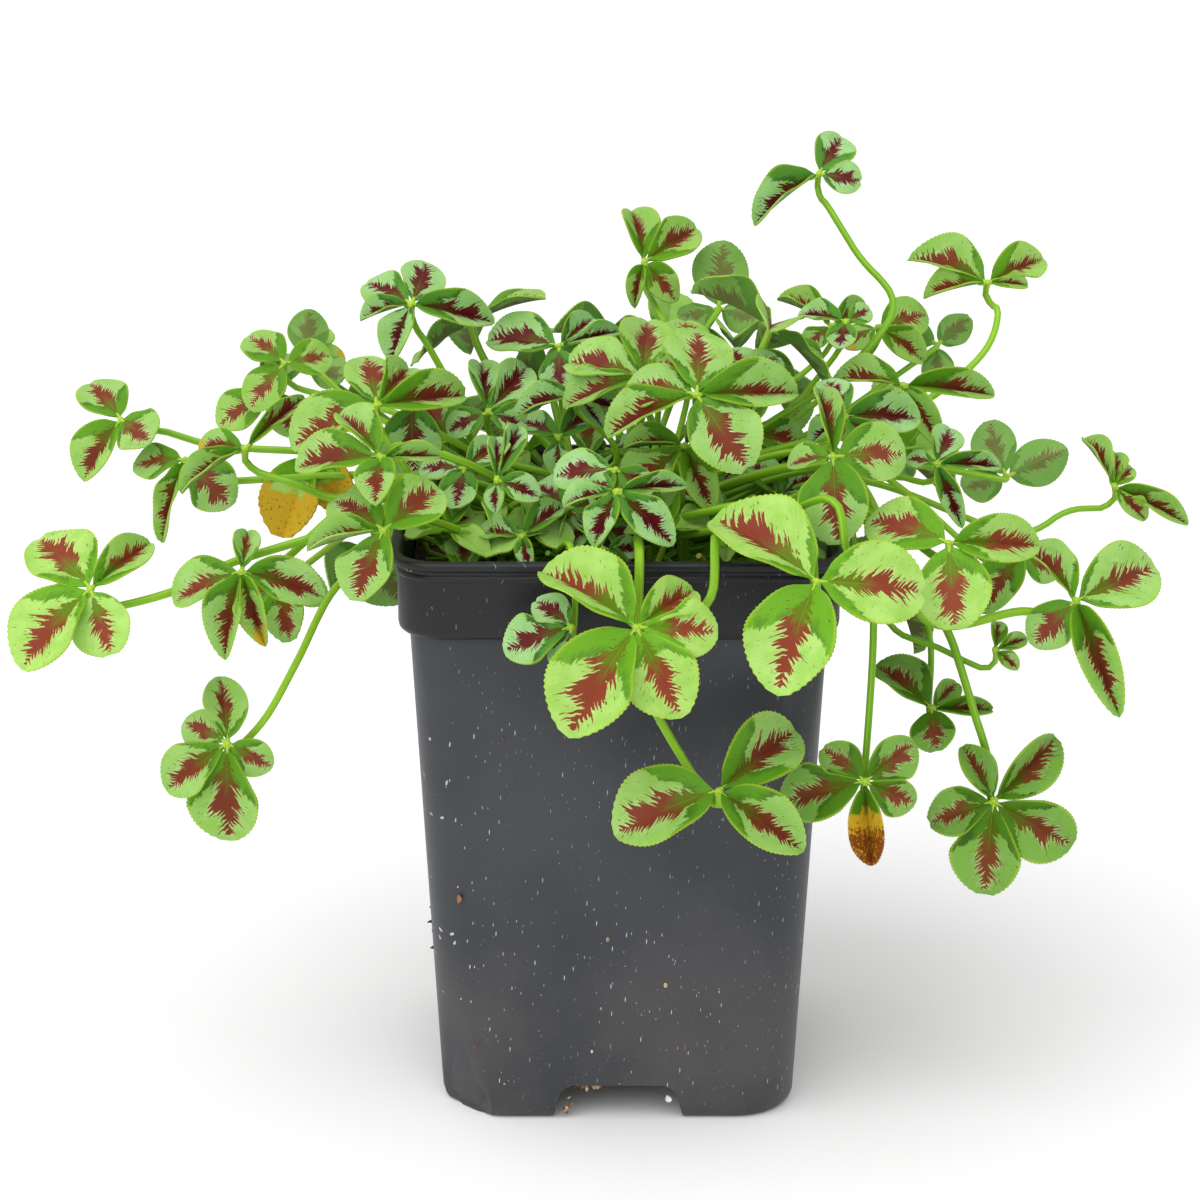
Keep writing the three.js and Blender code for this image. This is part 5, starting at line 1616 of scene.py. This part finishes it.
def pot_plastic():
    """Satin black plastic with specks of grit, fine upright scratches and scuffs; painted bounce light
    from the floor lightens the lower body and painted shade darkens the collar.
    """
    material, w, shader, _ = new_material("pot_plastic_moulded")
    place = w.own_place()
    parts = w.axes(place)
    round_wall = w.times(w.add(parts["X"], parts["Y"]), 1000.0)
    height = w.times(parts["Z"], 1000.0)
    broad = w.noise(place, scale=28.0, detail=4.0)
    fine = w.noise(place, scale=900.0, detail=4.0)
    colour = w.mix(w.fade(broad, 0.3, 0.7), srgb(48, 50, 54), srgb(60, 61, 66))
    collar = w.fade(height, BODY_TOP - 0.5, BODY_TOP + 0.8)
    # Painted shade: the collar is darkened almost to black, standing in for the less light it gets
    # bounced up from the floor.
    colour = w.mix(w.times(collar, 0.9), colour, srgb(16, 16, 18))
    # Painted light bounced up from the floor: the body is made lighter and greyer toward its foot, in
    # broad patches, fading out by 60 mm up.
    floor_bounce_light = w.times(w.fade(height, 0.0, 60.0, 1.0, 0.0), w.fade(broad, 0.35, 0.65))
    colour = w.mix(w.times(floor_bounce_light, 0.28), colour, srgb(96, 88, 78))
    flecks = None
    for across, upright, width, shift in FLECKS:
        grid = w.point(w.add(w.times(round_wall, 1 / across), shift), w.times(height, 1 / upright))
        cell = w.cells(grid, dimensions="2D")
        here = w.channels(cell["Color"])
        size = w.times(w.fade(here["Red"], 0.35, 1.0), width)
        spot = w.fade(w.less(cell["Distance"], size), -0.008, 0.004, 1.0, 0.0)
        spot = w.times(spot, w.fade(here["Red"], 0.3, 0.45))
        flecks = spot if flecks is None else w.math("MAXIMUM", flecks, spot)
    thick = w.fade(w.noise(place, scale=42.0), 0.35, 0.6, 0.25, 1.0)
    sides = w.fade(w.math("ABSOLUTE", parts["Z"]), 0.0, 0.004)
    flecks = w.times(w.times(flecks, thick), sides)
    colour = w.mix(w.times(flecks, w.fade(collar, 0.0, 1.0, 0.8, 0.35)), colour, srgb(196, 198, 202))
    grit = w.fade(w.noise(place, scale=2100.0, detail=1.0), 0.72, 0.8)
    colour = w.mix(w.times(grit, w.fade(height, 10.0, 70.0, 0.45, 0.1)), colour, srgb(150, 146, 138))
    rough = w.add(w.add(0.36, w.times(broad, 0.16)), w.times(flecks, 0.3))
    drawn_up = w.point(w.times(parts["X"], 30.0), w.times(parts["Y"], 30.0), w.times(parts["Z"], 9.0))
    waves = w.noise(drawn_up)
    relief = w.add(w.times(fine, 0.12), w.times(waves, 2.2))
    w.finish(shader, colour, rough, 0.36, (relief, 0.35, 0.0006))
    return material


SOIL_CELLS = 44
CRUMBLE = 1.6
CRUMBLE_DROP = 0.9
SOIL_SET_IN = 2.5


def soil_level(x, y):
    """The height of the soil's top, a little uneven."""
    broad = 0.6 * np.sin(x * 0.19 + 1) * np.cos(y * 0.16)
    return SOIL_TOP + SOIL_RELIEF * (broad + 0.4 * np.sin((x + y) * 0.31))


def make_soil(material, draw):
    """The plug of peat, its top a little uneven and crumbly."""
    cells = dict(x_subdivisions=SOIL_CELLS, y_subdivisions=SOIL_CELLS)
    block = add_primitive("grid", **cells, size=2.2 * COLLAR_HALF * MM)
    set_mode("EDIT")
    bpy.ops.mesh.extrude_region_move(TRANSFORM_OT_translate=dict(value=(0, 0, 150 * MM)))
    bpy.ops.mesh.select_all(action="SELECT")
    bpy.ops.mesh.normals_make_consistent(inside=False)
    set_mode("OBJECT")
    places = coordinates(block) / MM
    high = places[:, 2] > 75
    x, y = places[:, 0], places[:, 1]
    crumble = np.array([draw() for _ in x]) * CRUMBLE - CRUMBLE_DROP
    places[:, 2] = np.where(high, soil_level(x, y) + crumble, -5)
    set_coordinates(block, places * MM)
    soil = inside_loft("soil_plug", GAP, [(43.8 - GAP, 8, BODY_TOP + 3.3), (43.8 - GAP, 8, POT_HEIGHT)])
    cut_with(soil, [block], "INTERSECT")
    set_coordinates(soil, knock_corner(coordinates(soil) / MM, inset=SOIL_SET_IN) * MM)
    smooth_below(soil, 40)
    soil.data.materials.append(material)
    return soil


def crumb_material(name, dark, light):
    """Dull, rough stuff, mottled between two tones."""
    material, w, shader, _ = new_material(name)
    place = w.own_place()
    coarse = w.noise(place, scale=380.0, detail=4.0)
    fine = w.noise(place, scale=2400.0, detail=3.0)
    colour = w.mix(w.fade(coarse, 0.35, 0.68), dark, light)
    colour = w.mix(w.times(w.fade(fine, 0.5, 0.75), 0.4), colour, light)
    w.finish(shader, colour, 0.9, 0.5, (w.add(coarse, fine), 0.6, 0.0005))
    return material


def crumb_blank():
    """A rough lump, one across, that all crumbs are cut from."""
    blank = add_primitive("ico_sphere", subdivisions=1, radius=0.5)
    blank.name = "crumb_blank"
    set_mode("EDIT")
    bpy.ops.mesh.bevel(offset=0.1, segments=1, affect="EDGES")
    set_mode("OBJECT")
    return blank


def make_crumb(blank, place, size, draw, material):
    """A crumb of its own shape: size is its three measures in mm."""
    crumb = copy_of(blank)
    shape = coordinates(blank)
    lumps = 1 + 0.35 * np.sin(shape @ np.array([draw(), draw(), draw()]) * 9 + 6 * draw())
    shape = shape * lumps[:, None] * np.array(size)
    turns = [2 * math.pi * draw() if k == 2 else 0.7 * (draw() - 0.5) for k in range(3)]
    turn = Euler(turns).to_matrix()
    set_coordinates(crumb, (shape @ np.array(turn).T + place) * MM)
    crumb.data.materials.append(material)
    return crumb


def on_front_wall(across, up):
    """The point of the pot's front wall that is seen at (across, up)."""
    toward = BASE_HALF
    for _ in range(6):
        place = seen_at(across, up, toward)
        shrink = 1 - toward / VIEW_DISTANCE
        toward = (up * shrink * math.sin(VIEW_PITCH) + wall_half(place[2])) / math.cos(VIEW_PITCH)
    return seen_at(across, up, toward)


# Bits of bark, peat and perlite that cling to the pot: across, up, kind, three measures.
CLINGING = (
    (-33.8, -63.9, "bark", (1.6, 0.6, 2.2)),
    (-2.2, -72.7, "straw", (1.4, 0.6, 1.4)),
    (-3.6, -87.2, "straw", (1.3, 0.5, 0.9)),
    (-5.6, -96.4, "perlite", (0.8, 0.5, 1.0)),
    (10.2, -82.2, "straw", (0.9, 0.5, 1.4)),
    (17.2, -83.8, "straw", (1.4, 0.4, 0.5)),
    (18.9, -82.6, "bark", (0.5, 0.4, 1.2)),
    (21.6, -83.8, "straw", (0.6, 0.4, 0.9)),
    (14.3, -95.8, "bark", (0.6, 0.4, 1.2)),
    (-24.3, -103.4, "straw", (1.5, 0.4, 0.5)),
    (-24.7, -29.4, "bark", (1.9, 0.4, 0.6)),
    (-30.5, -95.5, "bark", (0.9, 0.5, 1.3)),
)
# Dark crumbs on the left wall: their heights, how far forward they are, and their three measures.
EDGE_CRUMBS = (43.4, 40.2, 38.1, 34.2)
EDGE_CRUMB_FORWARD = -25.0
EDGE_CRUMB_SIZE = (2.2, 0.7, 0.8)
CRUMB_COLOURS = dict(
    bark=(srgb(84, 52, 34), srgb(156, 108, 76)),
    straw=(srgb(158, 124, 92), srgb(206, 178, 142)),
    perlite=(srgb(214, 212, 204), srgb(240, 240, 236)),
    peat=(srgb(22, 15, 11), srgb(66, 44, 30)),
)
SOIL_CRUMBS = 230
SOIL_CRUMB_SPAN = 84.0
SOIL_CRUMB_LIFT = 0.2
# Loose debris round the front notch: middle, how many, spread.
DEBRIS = (((-7.0, -36.6, 7.2), 16, (7.0, 1.2, 1.6)), ((-11.0, -36.8, 3.0), 8, (2.0, 1.2, 3.4)))
NOTCH_PERLITE = (10.6, -36.6, 4.6)
NOTCH_PERLITE_SIZE = (2.0, 1.4, 1.8)

# Light and floor
WORLD_LIGHT = 0.84
SUN_FROM = (-0.55, -0.8, 1.2)
SUN_SPREAD = 75.0
SUN_POWER = 1.85
FLOOR_SIZE = 12.0


def set_up_view():
    """The camera of the photograph, a white floor, and one wide soft sun under an even white sky."""
    camera = bpy.data.objects.new("camera", bpy.data.cameras.new("camera"))
    bpy.context.collection.objects.link(camera)
    aim = VIEW_AIM * MM
    camera.location = aim + TOWARD * VIEW_DISTANCE * MM
    camera.rotation_euler = (math.pi / 2 - VIEW_PITCH, 0, 0)
    camera.data.lens = VIEW_LENS
    camera.data.sensor_width = SENSOR_WIDTH
    bpy.context.scene.camera = camera
    bpy.context.scene.view_settings.view_transform = "Standard"

    world = bpy.data.worlds.new("studio")
    world.use_nodes = True
    wires = Wiring(world.node_tree)
    seen = wires.node("LightPath").outputs["Is Camera Ray"]
    background = world.node_tree.nodes["Background"]
    background.inputs["Color"].default_value = (1, 1, 1, 1)
    wires.join(wires.add(WORLD_LIGHT, wires.times(seen, 1 - WORLD_LIGHT)), background.inputs["Strength"])
    bpy.context.scene.world = world
    lamp = bpy.data.lights.new("key", "SUN")
    lamp.angle = math.radians(SUN_SPREAD)
    lamp.energy = SUN_POWER
    sun = bpy.data.objects.new("key", lamp)
    sun.location = SUN_FROM
    sun.rotation_euler = (-Vector(SUN_FROM)).to_track_quat("-Z", "Y").to_euler()
    bpy.context.collection.objects.link(sun)

    floor = add_primitive("plane", size=FLOOR_SIZE)
    floor.name = "floor"
    material, wires, shader, _ = new_material("floor_white")
    shade = wires.noise(wires.own_place(), scale=3.0)
    wires.join(wires.mix(shade, (0.9, 0.9, 0.9, 1), (0.93, 0.93, 0.93, 1)), shader.inputs["Base Color"])
    shader.inputs["Roughness"].default_value = 0.9
    floor.data.materials.append(material)
    floor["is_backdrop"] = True


def make_clinging(blank, materials, draw):
    """What clings to the pot's outside and lies round its front notch."""
    crumbs = []
    for across, up, kind, size in CLINGING:
        crumbs.append(make_crumb(blank, on_front_wall(across, up), size, draw, materials[kind]))
    for height in EDGE_CRUMBS:
        place = np.array([-wall_half(height), EDGE_CRUMB_FORWARD, height])
        crumbs.append(make_crumb(blank, place, EDGE_CRUMB_SIZE, draw, materials["peat"]))
    for place, count, spread in DEBRIS:
        for _ in range(count):
            shift = (np.array([draw(), draw(), draw()]) - 0.5) * spread
            kind = "bark" if draw() < 0.6 else "straw"
            size = 0.4 + 1.1 * np.array([draw(), draw(), draw()])
            crumbs.append(make_crumb(blank, np.array(place) + shift, size, draw, materials[kind]))
    place = np.array(NOTCH_PERLITE)
    crumbs.append(make_crumb(blank, place, NOTCH_PERLITE_SIZE, draw, materials["perlite"]))
    return join_pieces(crumbs, "clinging_crumbs")


def make_soil_crumbs(blank, materials, draw):
    """Crumbs strewn over the soil."""
    crumbs = []
    for _ in range(SOIL_CRUMBS):
        x, y = (draw() - 0.5) * SOIL_CRUMB_SPAN, (draw() - 0.5) * SOIL_CRUMB_SPAN
        kind = "perlite" if draw() < 0.2 else "bark" if draw() < 0.25 else "peat"
        size = (1.0 + 2.4 * draw() ** 2) * np.array([1, 0.6 + 0.4 * draw(), 0.5 + 0.4 * draw()])
        place = np.array([x, y, soil_level(x, y) + SOIL_CRUMB_LIFT])
        crumbs.append(make_crumb(blank, place, size, draw, materials[kind]))
    return join_pieces(crumbs, "soil_crumbs")


MAIN_SEED = 21

set_up_view()
draw = seeded(MAIN_SEED)
marks = feather_marks()
leaf_top = leaf_material("clover_leaf_top", marks)
leaf_underside = leaf_material("clover_leaf_underside", marks, underside=True)
stalk = petiole_material()
blank = leaflet_blank(**FINE_BLANK)
stems = grow_plant()
for k, stem in enumerate(stems):
    node = f"leafy_stem_{k + 1:02d}"
    piece = make_leafy_stem(stem, node + "_grown", blank, (leaf_top, leaf_underside, stalk), draw)
    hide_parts(node)
    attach(piece, "root")
bpy.data.objects.remove(blank)
blank = leaflet_blank(**LOW_BLANK)
low_growth = make_low_growth(stems, blank, (leaf_top, leaf_underside, stalk), seeded(LOW_SEED))
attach(low_growth, "root")
bpy.data.objects.remove(blank)

pot = make_pot(pot_plastic())
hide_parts("pot")
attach(pot, "root")
crumb_materials = {}
for kind, tones in CRUMB_COLOURS.items():
    crumb_materials[kind] = crumb_material("crumb_" + kind, *tones)
soil = make_soil(crumb_materials["peat"], draw)
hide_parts("soil")
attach(soil, "root")
blank = crumb_blank()
clinging = make_clinging(blank, crumb_materials, draw)
soil_crumbs = make_soil_crumbs(blank, crumb_materials, draw)
bpy.data.objects.remove(blank)
for piece in (clinging, soil_crumbs):
    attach(piece, "root")

boxes = [[list(corner) for corner in box] for box in (cad_bounds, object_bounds())]
dict(cad=boxes[0], visual=boxes[1])
